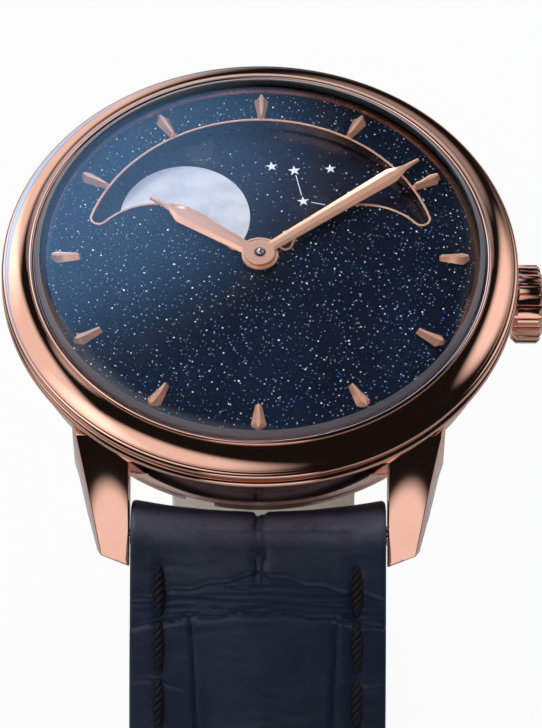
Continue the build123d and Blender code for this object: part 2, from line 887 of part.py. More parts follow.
with BuildPart() as barrel_bridge:
    with BuildSketch(Plane.XY.offset(bridge_z)) as barrel_bridge_plan:
        Circle(bridge_radius)
        with Locations((0, barrel_bridge_edge)):
            Rectangle(
                2 * bridge_radius, bridge_radius, align=(Align.CENTER, Align.MAX), mode=Mode.SUBTRACT
            )
        with Locations((keyless_edge_x, keyless_upper)):
            Rectangle(
                bridge_radius, bridge_radius, align=(Align.MIN, Align.MAX), mode=Mode.SUBTRACT
            )
        with Locations(balance_place):
            Circle(balance_radius + balance_clear, mode=Mode.SUBTRACT)
    extrude(amount=bridge_thickness)
    with BuildSketch(Plane.XY.offset(bridge_top)):
        Circle(bridge_radius)
        Circle(bridge_foot_radius, mode=Mode.SUBTRACT)
        add(barrel_bridge_plan.sketch, mode=Mode.INTERSECT)
        with Locations(barrel_place):
            Circle(barrel_seat_radius, mode=Mode.SUBTRACT)
    extrude(amount=plate_z - bridge_top)
    with BuildSketch(Plane.XY.offset(bridge_z)):
        with Locations(barrel_place):
            Circle(ratchet_radius + winding_module + wheel_clear)
        with Locations(crown_wheel_place):
            Circle(crown_wheel_radius + winding_module + wheel_clear)
    extrude(amount=ratchet_height + loose_fit, mode=Mode.SUBTRACT)
    with BuildSketch(Plane.XY.offset(bridge_z)):
        with Locations(barrel_place):
            Circle(centre_hole_radius)
        with Locations((0, 0)):
            Circle(jewel_radius)
    extrude(amount=bridge_thickness, mode=Mode.SUBTRACT)
barrel_bridge.part.label = "barrel_bridge"
export_step(barrel_bridge.part, "parts/barrel_bridge.step")

train_bridge_edge = barrel_bridge_edge - bridge_gap
train_bridge_left = -5.6
train_bridge_pivots = [third_place, fourth_place, escape_place]

with BuildPart() as train_bridge:
    with BuildSketch(Plane.XY.offset(bridge_z)) as train_bridge_plan:
        Circle(bridge_radius)
        with Locations((0, train_bridge_edge)):
            Rectangle(
                2 * bridge_radius, 2 * bridge_radius, align=(Align.CENTER, Align.MIN),
                mode=Mode.SUBTRACT,
            )
        with Locations((train_bridge_left, 0)):
            Rectangle(
                bridge_radius, 3 * bridge_radius, align=(Align.MAX, Align.CENTER),
                mode=Mode.SUBTRACT,
            )
        with Locations(balance_place):
            Circle(balance_radius + balance_clear, mode=Mode.SUBTRACT)
        with Locations(*train_bridge_pivots):
            Circle(jewel_radius, mode=Mode.SUBTRACT)
    extrude(amount=bridge_thickness)
    with BuildSketch(Plane.XY.offset(bridge_z)):
        with Locations(crown_wheel_place):
            Circle(crown_wheel_radius + winding_module + wheel_clear)
    extrude(amount=ratchet_height + loose_fit, mode=Mode.SUBTRACT)
    with BuildSketch(Plane.XY.offset(bridge_top)):
        Circle(bridge_radius)
        Circle(bridge_foot_radius, mode=Mode.SUBTRACT)
        add(train_bridge_plan.sketch, mode=Mode.INTERSECT)
    extrude(amount=plate_z - bridge_top)
train_bridge.part.label = "train_bridge"
export_step(train_bridge.part, "parts/train_bridge.step")

cock_foot_place = (-7.4, -8.2)
cock_width = 2.1
cock_foot_radius = 1.45
cock_arm = bar_face(cock_foot_place, balance_place, cock_width)

with BuildPart() as balance_cock:
    with BuildSketch(Plane.XY.offset(bridge_z)):
        add(cock_arm)
        with Locations(cock_foot_place):
            Circle(cock_foot_radius)
        with Locations(balance_place):
            Circle(jewel_radius, mode=Mode.SUBTRACT)
    extrude(amount=bridge_thickness)
    with BuildSketch(Plane.XY.offset(bridge_top)):
        with Locations(cock_foot_place):
            Circle(cock_foot_radius)
    extrude(amount=plate_z - bridge_top)
balance_cock.part.label = "balance_cock"
export_step(balance_cock.part, "parts/balance_cock.step")

# Jewels in the bridges and the plate, each with its pivot hole
jewel_hole_radius = 0.12
bridge_pivots = [(0, 0), third_place, fourth_place, escape_place, balance_place]

with BuildPart() as jewels:
    with BuildSketch(Plane.XY.offset(bridge_z)):
        with Locations(*bridge_pivots[1:]):
            Circle(jewel_radius)
            Circle(jewel_hole_radius, mode=Mode.SUBTRACT)
    extrude(amount=jewel_height)
    with BuildSketch(Plane.XY.offset(plate_z)):
        with Locations(*plate_pivots[1:]):
            Circle(jewel_radius)
            Circle(jewel_hole_radius, mode=Mode.SUBTRACT)
    extrude(amount=jewel_height)
jewels.part.label = "jewels"
export_step(jewels.part, "parts/jewels.step")

# Bridge screws, standing in the bridges with slotted heads
screw_head_radius = 0.62
screw_slot_width = 0.14
screw_proud = 0.08
screw_places = [
    at_angle(11.0, 20),
    at_angle(11.0, 128),
    at_angle(11.2, -30),
    at_angle(11.2, -100),
    cock_foot_place,
]

with BuildPart() as bridge_screws:
    with BuildSketch(Plane.XY.offset(bridge_z - screw_proud)):
        with Locations(*screw_places):
            Circle(screw_head_radius)
    extrude(amount=screw_proud)
    with BuildSketch(Plane.XY.offset(bridge_z - screw_proud)):
        with Locations(*screw_places):
            Rectangle(2 * screw_head_radius, screw_slot_width)
    extrude(amount=screw_proud / 2, mode=Mode.SUBTRACT)
bridge_screws.part.label = "bridge_screws"
export_step(bridge_screws.part, "parts/bridge_screws.step")

# Barrel with its toothed rim, arbor, ratchet wheel and crown wheel
barrel_radius = 5.1
barrel_low = bridge_top + wheel_pitch
barrel_top = plate_z + barrel_seat_depth - loose_fit
barrel_arbor_radius = 0.5
mesh_layer = first_layer + 3 * wheel_pitch
barrel_rim = gear_face(barrel_teeth, barrel_module)

with BuildPart() as barrel:
    with BuildSketch(Plane.XY.offset(barrel_low)):
        with Locations(barrel_place):
            Circle(barrel_radius)
            Circle(barrel_arbor_radius + shaft_fit, mode=Mode.SUBTRACT)
    extrude(amount=barrel_top - barrel_low)
    with BuildSketch(Plane.XY.offset(mesh_layer)):
        with Locations(barrel_place):
            add(barrel_rim)
            Circle(barrel_arbor_radius + shaft_fit, mode=Mode.SUBTRACT)
    extrude(amount=wheel_thickness)
barrel.part.label = "barrel"
export_step(barrel.part, "parts/barrel.step")

ratchet_z = bridge_z + loose_fit
ratchet_thickness = ratchet_height - loose_fit
with BuildPart() as barrel_arbor:
    with BuildSketch(Plane.XY.offset(ratchet_z + ratchet_thickness)):
        with Locations(barrel_place):
            Circle(barrel_arbor_radius)
    extrude(amount=plate_top - ratchet_z - ratchet_thickness)
barrel_arbor.part.label = "barrel_arbor"
export_step(barrel_arbor.part, "parts/barrel_arbor.step")

ratchet_rim = gear_face(ratchet_teeth, winding_module)
with BuildPart() as ratchet_wheel:
    with BuildSketch(Plane.XY.offset(ratchet_z)):
        with Locations(barrel_place):
            add(ratchet_rim)
    extrude(amount=ratchet_thickness)
ratchet_wheel.part.label = "ratchet_wheel"
export_step(ratchet_wheel.part, "parts/ratchet_wheel.step")

# The crown wheel is turned so that its teeth lie in the gaps of the ratchet wheel's teeth
crown_wheel_rim = gear_face(crown_wheel_teeth, winding_module)
crown_wheel_bearing = degrees(
    atan2(-barrel_place[1], crown_wheel_place[0] - barrel_place[0])
)
ratchet_phase = crown_wheel_bearing * ratchet_teeth / 360
crown_wheel_turn = crown_wheel_bearing + 180 - (0.5 - ratchet_phase) * 360 / crown_wheel_teeth
with BuildPart() as crown_wheel:
    with BuildSketch(Plane.XY.offset(ratchet_z)):
        with Locations(Location((*crown_wheel_place, 0), (0, 0, crown_wheel_turn))):
            add(crown_wheel_rim)
    extrude(amount=ratchet_thickness)
crown_wheel.part.label = "crown_wheel"
export_step(crown_wheel.part, "parts/crown_wheel.step")

# Winding pinion and sliding pinion on the stem
winding_pinion_teeth = 14
winding_pinion_root = 0.58
winding_pinion_tip = 0.75
winding_pinion_x = (
    crown_wheel_place[0] + crown_wheel_radius + tooth_over_share * winding_module + shaft_fit
)
winding_pinion_length = 1.0
sliding_pinion_gap = 0.3
sliding_pinion_x = winding_pinion_x + winding_pinion_length + sliding_pinion_gap
sliding_pinion_length = 1.5
stem_pinion_rim = toothed_face(winding_pinion_teeth, winding_pinion_root, winding_pinion_tip)

with BuildPart() as winding_pinion:
    with BuildSketch(Plane.YZ.offset(winding_pinion_x)):
        with Locations((0, crown_z)):
            add(stem_pinion_rim)
            Circle(stem_pilot_radius + shaft_fit, mode=Mode.SUBTRACT)
    extrude(amount=winding_pinion_length)
winding_pinion.part.label = "winding_pinion"
export_step(winding_pinion.part, "parts/winding_pinion.step")

with BuildPart() as sliding_pinion:
    with BuildSketch(Plane.YZ.offset(sliding_pinion_x)):
        with Locations((0, crown_z)):
            add(stem_pinion_rim)
            Rectangle(
                2 * (stem_square_half + shaft_fit),
                2 * (stem_square_half + shaft_fit),
                mode=Mode.SUBTRACT,
            )
    extrude(amount=sliding_pinion_length)
sliding_pinion.part.label = "sliding_pinion"
export_step(sliding_pinion.part, "parts/sliding_pinion.step")

# Going train: each arbor carries its pinion and a spoked wheel on its own layer
rim_width = 0.45
hub_radius = 0.55
spoke_width = 0.4
spokes = 4
centre_arbor_radius = 0.3
centre_arbor_top = 9.34
pivot_reach = 0.2


def wheel_gaps(teeth, module):
    return spoke_gaps(hub_radius, teeth * module / 2 - module - rim_width, spokes, spoke_width)


train = {
    "third_wheel": (third_place, third_teeth, third_module, 2, third_pinion_teeth, centre_module, 0),
    "fourth_wheel": (fourth_place, fourth_teeth, fourth_module, 1, fourth_pinion_teeth, third_module, 2),
}

centre_rim = gear_face(centre_teeth, centre_module)
centre_gaps = wheel_gaps(centre_teeth, centre_module)
centre_pinion_rim = gear_face(centre_pinion_teeth, barrel_module)
with BuildPart() as centre_wheel:
    with BuildSketch(Plane.XY.offset(first_layer)):
        add(centre_rim)
        add(centre_gaps, mode=Mode.SUBTRACT)
    extrude(amount=wheel_thickness)
    with BuildSketch(Plane.XY.offset(first_layer + wheel_thickness)):
        Circle(hub_radius)
    extrude(amount=mesh_layer - first_layer - wheel_thickness)
    with BuildSketch(Plane.XY.offset(mesh_layer)):
        add(centre_pinion_rim)
    extrude(amount=wheel_thickness)
    with BuildSketch(Plane.XY.offset(bridge_z + jewel_height)):
        Circle(centre_arbor_radius)
    extrude(amount=centre_arbor_top - bridge_z - jewel_height)
centre_wheel.part.label = "centre_wheel"
export_step(centre_wheel.part, "parts/centre_wheel.step")

for wheel_name, (place, teeth, module, layer, leaves, leaf_module, leaf_layer) in train.items():
    rim = gear_face(teeth, module)
    gaps = wheel_gaps(teeth, module)
    pinion = gear_face(leaves, leaf_module)
    with BuildPart() as train_wheel:
        with BuildSketch(Plane.XY.offset(first_layer + layer * wheel_pitch)):
            with Locations(place):
                add(rim)
                add(gaps, mode=Mode.SUBTRACT)
        extrude(amount=wheel_thickness)
        with BuildSketch(Plane.XY.offset(first_layer + leaf_layer * wheel_pitch)):
            with Locations(place):
                add(pinion)
        extrude(amount=wheel_thickness)
        with BuildSketch(Plane.XY.offset(bridge_top - pivot_reach)):
            with Locations(place):
                Circle(jewel_hole_radius - shaft_fit)
        extrude(amount=plate_z + pivot_reach - bridge_top + pivot_reach)
    train_wheel.part.label = wheel_name
    export_step(train_wheel.part, f"parts/{wheel_name}.step")

# Escape wheel with leaning teeth, and the pallet fork that rocks against it
escape_tooth_height = 0.45
escape_lean_share = 0.95
escape_rim = toothed_face(
    escape_teeth, escape_radius - escape_tooth_height, escape_radius, escape_lean_share
)
escape_gaps = spoke_gaps(
    hub_radius, escape_radius - escape_tooth_height - rim_width / 2, spokes, spoke_width
)
escape_pinion_rim = gear_face(escape_pinion_teeth, fourth_module)

with BuildPart() as escape_wheel:
    with BuildSketch(Plane.XY.offset(mesh_layer)):
        with Locations(escape_place):
            add(escape_rim)
            add(escape_gaps, mode=Mode.SUBTRACT)
    extrude(amount=wheel_thickness)
    with BuildSketch(Plane.XY.offset(first_layer + wheel_pitch)):
        with Locations(escape_place):
            add(escape_pinion_rim)
    extrude(amount=wheel_thickness)
    with BuildSketch(Plane.XY.offset(bridge_top - pivot_reach)):
        with Locations(escape_place):
            Circle(jewel_hole_radius - shaft_fit)
    extrude(amount=plate_z + pivot_reach - bridge_top + pivot_reach)
escape_wheel.part.label = "escape_wheel"
export_step(escape_wheel.part, "parts/escape_wheel.step")

pallet_spread = 33
pallet_stone_gap = 0.16
pallet_arm_width = 0.3
pallet_stone_radius = 0.12
pallet_stone_height = 0.06
fork_notch_radius = 0.24
impulse_radius = 0.8
impulse_pin_radius = 0.08
stone_places = [
    at_angle(escape_radius + pallet_stone_gap, pallet_bearing + side * pallet_spread, escape_place)
    for side in (-1, 1)
]
impulse_place = at_angle(impulse_radius, balance_bearing - 180, balance_place)
pallet_arms = [bar_face(pallet_place, place, pallet_arm_width) for place in stone_places]
fork_lever = bar_face(pallet_place, impulse_place, pallet_arm_width)

with BuildPart() as pallet_fork:
    with BuildSketch(Plane.XY.offset(mesh_layer)):
        add(pallet_arms)
        add(fork_lever)
        with Locations(impulse_place):
            Circle(fork_notch_radius + pallet_arm_width / 2)
            Circle(fork_notch_radius, mode=Mode.SUBTRACT)
        with Locations(at_angle(fork_notch_radius, balance_bearing, impulse_place)):
            Circle(fork_notch_radius, mode=Mode.SUBTRACT)
    extrude(amount=wheel_thickness)
    with BuildSketch(Plane.XY.offset(mesh_layer - wheel_pitch)):
        with Locations(pallet_place):
            Circle(jewel_hole_radius - shaft_fit)
    extrude(amount=plate_z + pivot_reach - mesh_layer + wheel_pitch)
    with BuildSketch(Plane.XY.offset(mesh_layer - pallet_stone_height)):
        with Locations(*stone_places):
            Circle(pallet_stone_radius)
    extrude(amount=pallet_stone_height)
pallet_fork.part.label = "pallet_fork"
export_step(pallet_fork.part, "parts/pallet_fork.step")

pallet_bridge_half = 1.9
pallet_bridge_angle = 95
pallet_bridge_width = 0.7
pallet_bridge_height = 0.12
pallet_foot_radius = 0.42
pallet_bridge_ends = [
    at_angle(pallet_bridge_half, pallet_bearing + side * pallet_bridge_angle, pallet_place) for side in (-1, 1)
]
pallet_bridge_bar = bar_face(*pallet_bridge_ends, pallet_bridge_width)

with BuildPart() as pallet_bridge:
    with BuildSketch(Plane.XY.offset(mesh_layer - wheel_pitch + loose_fit)):
        add(pallet_bridge_bar)
        with Locations(pallet_place):
            Circle(jewel_hole_radius, mode=Mode.SUBTRACT)
    extrude(amount=pallet_bridge_height)
    with BuildSketch(Plane.XY.offset(mesh_layer - wheel_pitch + loose_fit)):
        with Locations(*pallet_bridge_ends):
            Circle(pallet_foot_radius)
    extrude(amount=plate_z - mesh_layer + wheel_pitch - loose_fit)
pallet_bridge.part.label = "pallet_bridge"
export_step(pallet_bridge.part, "parts/pallet_bridge.step")

# Balance wheel with its staff, roller and impulse pin, and the flat hairspring over it
balance_rim_width = 0.4
balance_rim_height = 0.26
balance_arms = 3
balance_arm_width = 0.35
roller_radius = 0.95
hairspring_clear = 0.05
hairspring_height = 0.12
hairspring_ribbon = 0.08
hairspring_pitch = 0.5
hairspring_turns = 4
hairspring_inner = 0.5
collet_radius = 0.35
balance_low = bridge_top + hairspring_clear + hairspring_height + hairspring_clear
balance_gaps = spoke_gaps(
    hub_radius, balance_radius - balance_rim_width, balance_arms, balance_arm_width
)

with BuildPart() as balance_wheel:
    with BuildSketch(Plane.XY.offset(balance_low)):
        with Locations(balance_place):
            Circle(balance_radius)
            add(balance_gaps, mode=Mode.SUBTRACT)
    extrude(amount=balance_rim_height)
    with BuildSketch(Plane.XY.offset(bridge_top - pivot_reach)):
        with Locations(balance_place):
            Circle(jewel_hole_radius - shaft_fit)
    extrude(amount=plate_z + pivot_reach - bridge_top + pivot_reach)
    with BuildSketch(Plane.XY.offset(bridge_top + hairspring_clear)):
        with Locations(balance_place):
            Circle(collet_radius)
    extrude(amount=hairspring_height + hairspring_clear)
    with BuildSketch(Plane.XY.offset(mesh_layer)):
        with Locations(impulse_place):
            Circle(impulse_pin_radius)
    extrude(amount=wheel_thickness)
    with BuildSketch(Plane.XY.offset(balance_low + balance_rim_height)):
        with Locations(balance_place):
            Circle(hub_radius)
    extrude(amount=mesh_layer - balance_low - balance_rim_height)
    with BuildSketch(Plane.XY.offset(mesh_layer - hairspring_clear)):
        with Locations(balance_place):
            Circle(roller_radius)
    extrude(amount=hairspring_clear)
balance_wheel.part.label = "balance_wheel"
export_step(balance_wheel.part, "parts/balance_wheel.step")

with BuildPart() as hairspring:
    with BuildSketch(Plane.XY.offset(bridge_top + hairspring_clear)):
        with BuildLine() as coil:
            reach = hairspring_inner
            place = (balance_place[0] + reach, balance_place[1])
            for half_turn in range(2 * hairspring_turns):
                side = 1 if half_turn % 2 == 0 else -1
                radius = reach + hairspring_pitch / 4
                centre = (place[0] - side * radius, place[1])
                ThreePointArc(*arc_points(radius, 90 - side * 90, 270 - side * 90, centre))
                place = (centre[0] - side * radius, centre[1])
                reach += hairspring_pitch / 2
        trace(line_width=hairspring_ribbon)
    extrude(amount=hairspring_height)
coil_length = coil.wire().length
coil_samples = 240
coil_points = [coil.wire().position_at(k / coil_samples) for k in range(coil_samples + 1)]
coil_apart = round(pi * hairspring_inner / coil_length * coil_samples)
coil_gap = min(
    (coil_points[k] - coil_points[j]).length
    for k in range(coil_samples)
    for j in range(k + coil_apart, coil_samples + 1)
)
print("hairspring, least gap between turns:", round(coil_gap - hairspring_ribbon, 3))
hairspring.part.label = "hairspring"
export_step(hairspring.part, "parts/hairspring.step")

# Self-winding rotor on its bearing
rotor_clear = 0.7
rotor_radius = back_seat_radius - rotor_clear
rotor_rim_inner = 10.3
rotor_hub_radius = 2.9
bearing_radius = 1.7
bearing_bore = 0.9
rotor_screw_proud = 0.1
rotor_window_outer = 9.4
rotor_window_inner = 4.2
rotor_web = 1.6

with BuildPart() as rotor:
    with BuildSketch(Plane.XY.offset(rotor_z)):
        Circle(rotor_radius)
        Rectangle(
            2 * rotor_radius, rotor_radius, align=(Align.CENTER, Align.MIN), mode=Mode.SUBTRACT
        )
        Circle(rotor_hub_radius)
        Circle(bearing_radius + shaft_fit, mode=Mode.SUBTRACT)
    extrude(amount=rotor_plate)
    with BuildSketch(Plane.XY.offset(rotor_z)) as rotor_window:
        Circle(rotor_window_outer)
        Circle(rotor_window_inner, mode=Mode.SUBTRACT)
        Rectangle(
            2 * rotor_radius, rotor_radius, align=(Align.CENTER, Align.MIN), mode=Mode.SUBTRACT
        )
        with Locations((0, -rotor_web)):
            Rectangle(
                2 * rotor_radius, rotor_web, align=(Align.CENTER, Align.MIN), mode=Mode.SUBTRACT
            )
        with Locations((0, 0)):
            Rectangle(rotor_web, 2 * rotor_radius, mode=Mode.SUBTRACT)
    extrude(amount=rotor_plate, mode=Mode.SUBTRACT)
    with BuildSketch(Plane.XY.offset(rotor_z)):
        Circle(rotor_radius)
        Circle(rotor_rim_inner, mode=Mode.SUBTRACT)
        Rectangle(
            2 * rotor_radius, rotor_radius, align=(Align.CENTER, Align.MIN), mode=Mode.SUBTRACT
        )
    extrude(amount=rotor_rim)
rotor.part.label = "rotor"
export_step(rotor.part, "parts/rotor.step")

with BuildPart() as rotor_bearing:
    with BuildSketch(Plane.XY.offset(rotor_z)):
        Circle(bearing_radius)
        Circle(bearing_bore, mode=Mode.SUBTRACT)
    extrude(amount=bridge_z - rotor_z)
rotor_bearing.part.label = "rotor_bearing"
export_step(rotor_bearing.part, "parts/rotor_bearing.step")

with BuildPart() as rotor_screw:
    with BuildSketch(Plane.XY.offset(rotor_z - rotor_screw_proud)):
        Circle(bearing_bore)
        Rectangle(2 * bearing_bore, screw_slot_width, mode=Mode.SUBTRACT)
    extrude(amount=2 * rotor_screw_proud)
    with BuildSketch(Plane.XY.offset(rotor_z + rotor_screw_proud)):
        Circle(bearing_bore)
    extrude(amount=bridge_z - rotor_z - rotor_screw_proud)
rotor_screw.part.label = "rotor_screw"
export_step(rotor_screw.part, "parts/rotor_screw.step")

# Motion works under the dial: cannon pinion, minute wheel, hour wheel and day wheel
cannon_teeth, minute_teeth, motion_module = 12, 36, 0.12
minute_pinion_teeth, hour_teeth, hour_module = 10, 40, 0.1152
day_teeth = 80
motion_z = plate_top + 2 * loose_fit
motion_height = 0.2
hour_wheel_z = 5.95
hour_pipe_bore = cannon_radius + loose_fit
day_bearing = 200
post_radius = 0.22
cannon_top = minute_hand_z + hand_thickness + shaft_fit
minute_place = at_angle(mesh_distance(cannon_teeth, minute_teeth, motion_module), 0)
day_place = at_angle(mesh_distance(hour_teeth, day_teeth, hour_module), day_bearing)

cannon_rim = gear_face(cannon_teeth, motion_module)
with BuildPart() as cannon_pinion:
    with BuildSketch(Plane.XY.offset(motion_z)):
        add(cannon_rim)
        Circle(centre_arbor_radius + shaft_fit, mode=Mode.SUBTRACT)
    extrude(amount=motion_height)
    with BuildSketch(Plane.XY.offset(motion_z + motion_height)):
        Circle(cannon_radius - shaft_fit)
        Circle(centre_arbor_radius + shaft_fit, mode=Mode.SUBTRACT)
    extrude(amount=cannon_top - motion_z - motion_height)
cannon_pinion.part.label = "cannon_pinion"
export_step(cannon_pinion.part, "parts/cannon_pinion.step")

minute_rim = gear_face(minute_teeth, motion_module)
minute_pinion_rim = gear_face(minute_pinion_teeth, hour_module)
with BuildPart() as minute_wheel:
    with BuildSketch(Plane.XY.offset(motion_z)):
        with Locations(minute_place):
            add(minute_rim)
            Circle(post_radius + shaft_fit, mode=Mode.SUBTRACT)
    extrude(amount=motion_height)
    with BuildSketch(Plane.XY.offset(motion_z + motion_height)):
        with Locations(minute_place):
            add(minute_pinion_rim)
            Circle(post_radius + shaft_fit, mode=Mode.SUBTRACT)
    extrude(amount=hour_wheel_z - motion_z)
minute_wheel.part.label = "minute_wheel"
export_step(minute_wheel.part, "parts/minute_wheel.step")

hour_rim = gear_face(hour_teeth, hour_module)
with BuildPart() as hour_wheel:
    with BuildSketch(Plane.XY.offset(hour_wheel_z)):
        add(hour_rim)
        Circle(hour_pipe_bore, mode=Mode.SUBTRACT)
    extrude(amount=motion_height)
    with BuildSketch(Plane.XY.offset(hour_wheel_z + motion_height)):
        Circle(hour_pipe_radius - shaft_fit)
        Circle(hour_pipe_bore, mode=Mode.SUBTRACT)
    extrude(amount=hour_hand_z + hand_thickness - hour_wheel_z - motion_height)
hour_wheel.part.label = "hour_wheel"
export_step(hour_wheel.part, "parts/hour_wheel.step")

# Dial-side plate on the holder's step, with the boss that the moon disc turns on
dial_plate_thickness = 0.2
dial_plate_top = holder_step_z + dial_plate_thickness
moon_boss_top = moon_disc_top
finger_reach = 2.53
finger_width = 0.32
finger_gap = 0.15
finger_z = dial_plate_top + finger_gap
finger_thickness = 0.2
finger_arm = bar_face(day_place, at_angle(finger_reach, 0, day_place), finger_width)
day_rim = gear_face(day_teeth, hour_module)
day_gaps = wheel_gaps(day_teeth, hour_module)

with BuildPart() as dial_side_plate:
    with BuildSketch(Plane.XY.offset(holder_step_z)):
        Circle(holder_upper_inner - loose_fit)
        Circle(hour_pipe_radius + loose_fit, mode=Mode.SUBTRACT)
        with Locations(day_place):
            Circle(hub_radius + loose_fit, mode=Mode.SUBTRACT)
    extrude(amount=dial_plate_thickness)
    with BuildSketch(Plane.XY.offset(dial_plate_top)):
        Circle(moon_boss_radius)
        Circle(hour_pipe_radius + loose_fit, mode=Mode.SUBTRACT)
    extrude(amount=moon_boss_top - dial_plate_top)
dial_side_plate.part.label = "dial_side_plate"
export_step(dial_side_plate.part, "parts/dial_side_plate.step")

with BuildPart() as day_wheel:
    with BuildSketch(Plane.XY.offset(hour_wheel_z)):
        with Locations(day_place):
            add(day_rim)
            add(day_gaps, mode=Mode.SUBTRACT)
    extrude(amount=motion_height)
    with BuildSketch(Plane.XY.offset(motion_z)):
        with Locations(day_place):
            Circle(hub_radius)
    extrude(amount=finger_z - motion_z)
    with BuildSketch(Plane.XY.offset(finger_z)):
        add(finger_arm)
    extrude(amount=finger_thickness)
day_wheel.part.label = "day_wheel"
export_step(day_wheel.part, "parts/day_wheel.step")

jumper_foot_reach = 5.6
jumper_foot_angle = 288
jumper_foot_radius = 0.8
jumper_width = 0.3
moon_pitch_angle = 360 / moon_teeth
jumper_tooth = 54
jumper_tip = at_angle(moon_ring_tip, moon_pitch_angle * jumper_tooth)
jumper_foot = at_angle(jumper_foot_reach, jumper_foot_angle)
jumper_arm = bar_face(jumper_foot, jumper_tip, jumper_width)

with BuildPart() as moon_jumper:
    with BuildSketch(Plane.XY.offset(dial_plate_top)):
        with Locations(jumper_foot):
            Circle(jumper_foot_radius)
    extrude(amount=finger_z + finger_thickness - dial_plate_top)
    with BuildSketch(Plane.XY.offset(finger_z)):
        add(jumper_arm)
    extrude(amount=finger_thickness)
moon_jumper.part.label = "moon_jumper"
export_step(moon_jumper.part, "parts/moon_jumper.step")

# Strap halves: each follows a curve down from its spring bar, unbuckled, with the long half
# lying flat under the case and the short half ending in the buckle
bar_radius = 0.75
bar_pivot_radius = bar_hole_radius - shaft_fit
bar_length = lug_gap - 2 * loose_fit
strap_taper = 2.1
strap_tail_width = strap_width - strap_taper
strap_root_thickness = 2.1
strap_tail_thickness = 1.15
strap_lining = 1.2
strap_crown = 0.95
strap_crown_share = 0.45
strap_pad_length = 60.0
strap_taper_start = 20.0
strap_roll = 0.44
strap_hollow = 0.81
strap_roll_length = 7.0
strap_station_pitch = 3.3
strap_station_lean = 1.15
strap_reach = 10.0
long_length = 108.3
long_start_angle = 22
long_first_angle = 48
long_first_radius = 40.0
long_second_radius = 56.0
short_length = 73.3
short_start_angle = 62
short_first_radius = 50.0
short_straight = 21.0
short_end_flat = 7.3
keeper_wall = 0.9
keeper_width = 4.6
tail_room = 2.45
down = 90
short_first_turn = down - short_start_angle
short_first_arc = radians(short_first_turn) * short_first_radius
short_end_radius = (short_length - short_first_arc - short_straight - short_end_flat) / radians(down)
short_end_z = (
    strap_bar_z
    - short_first_radius * cos(radians(short_start_angle))
    - short_straight
    - short_end_radius
)
floor_z = short_end_z - strap_tail_thickness - tail_room - keeper_wall
long_first_turn = long_first_angle - long_start_angle
long_second_turn = down - long_first_angle
long_first_drop = long_first_radius * (
    cos(radians(long_start_angle)) - cos(radians(long_first_angle))
)
long_second_drop = long_second_radius * cos(radians(long_first_angle))
long_end_z = floor_z + strap_tail_thickness
long_end_radius = strap_bar_z - long_first_drop - long_second_drop - long_end_z
long_arcs = (
    radians(long_first_turn) * long_first_radius
    + radians(long_second_turn) * long_second_radius
    + radians(down) * long_end_radius
)
# Each leg of a strap's curve: radius, angle, length; a straight leg has no angle
long_legs = (
    (long_first_radius, long_first_turn, 0),
    (long_second_radius, long_second_turn, 0),
    (long_end_radius, down, 0),
    (0, 0, long_length - long_arcs),
)
short_legs = (
    (short_first_radius, short_first_turn, 0),
    (0, 0, short_straight),
    (short_end_radius, down, 0),
    (0, 0, short_end_flat),
)
long_heading = 180 + long_start_angle
short_heading = -short_start_angle


def strap_line(turn, heading, legs, offset):
    """A strap's side view as y and z, at a distance outwards from its curve."""
    with BuildLine() as line:
        place = Vector(-turn * strap_bar_y, strap_bar_z) + Vector(
            at_angle(offset, heading - turn * down)
        )
        course = Vector(at_angle(1, heading))
        Line(place - course * strap_reach, place)
        for radius, angle, run in legs:
            if angle:
                piece = JernArc(place, course, radius + offset, turn * angle)
            else:
                piece = Line(place, place + course * run)
            place = piece @ 1
            course = piece % 1
        Line(place, place + course * overrun)
    return line.wire()


def outer_side(turn, heading, legs):
    """The region outwards of a strap's curve, where the top leather lies."""
    near = strap_line(turn, heading, legs, 0)
    far = strap_line(turn, heading, legs, strap_reach)
    with BuildSketch(Plane.YZ.offset(-strap_width)) as region:
        with BuildLine():
            add(near)
            add(far)
            Line(near @ 0, far @ 0)
            Line(near @ 1, far @ 1)
        make_face()
    return region.sketch


def station_plane(line, reach, turn):
    """A plane across the strap at a distance along it, with local Y outwards."""
    place = line.position_at(strap_reach + reach, PositionMode.LENGTH)
    course = line.tangent_at(strap_reach + reach, PositionMode.LENGTH)
    return Plane(origin=(0, place.X, place.Y), x_dir=(turn, 0, 0), z_dir=(0, course.X, course.Y))


def strap_half_width(reach, length):
    share = max(0, reach - strap_taper_start) / (length - strap_taper_start)
    return (strap_width + (strap_tail_width - strap_width) * share) / 2


def strap_roll_share(reach):
    return max(0, 1 - reach / strap_roll_length) ** 2


def strap_thickness(reach):
    fall = cos(pi / 2 * min(1, reach / strap_pad_length)) ** 2
    body = strap_tail_thickness + (strap_root_thickness - strap_tail_thickness) * fall
    return body + strap_roll * strap_roll_share(reach)


def strap_crown_at(reach):
    share = min(1, reach / strap_pad_length) ** strap_crown_share
    return strap_crown * sin(pi * share) - strap_hollow * strap_roll_share(reach)


def lining_at(reach):
    gain = strap_root_thickness + strap_roll - strap_lining
    return strap_lining + gain * strap_roll_share(reach)


def strap_section(plane, reach, length):
    half = strap_half_width(reach, length)
    edge = strap_thickness(reach)
    lining = lining_at(reach)
    hollow = strap_hollow * strap_roll_share(reach)
    with BuildSketch(plane) as section:
        with BuildLine():
            Line((-half, -lining), (-half, edge))
            Bezier((-half, edge), (0, edge + 2 * strap_crown_at(reach)), (half, edge))
            Line((half, edge), (half, -lining))
            Bezier((half, -lining), (0, 2 * hollow - lining), (-half, -lining))
        make_face()
    return section.sketch


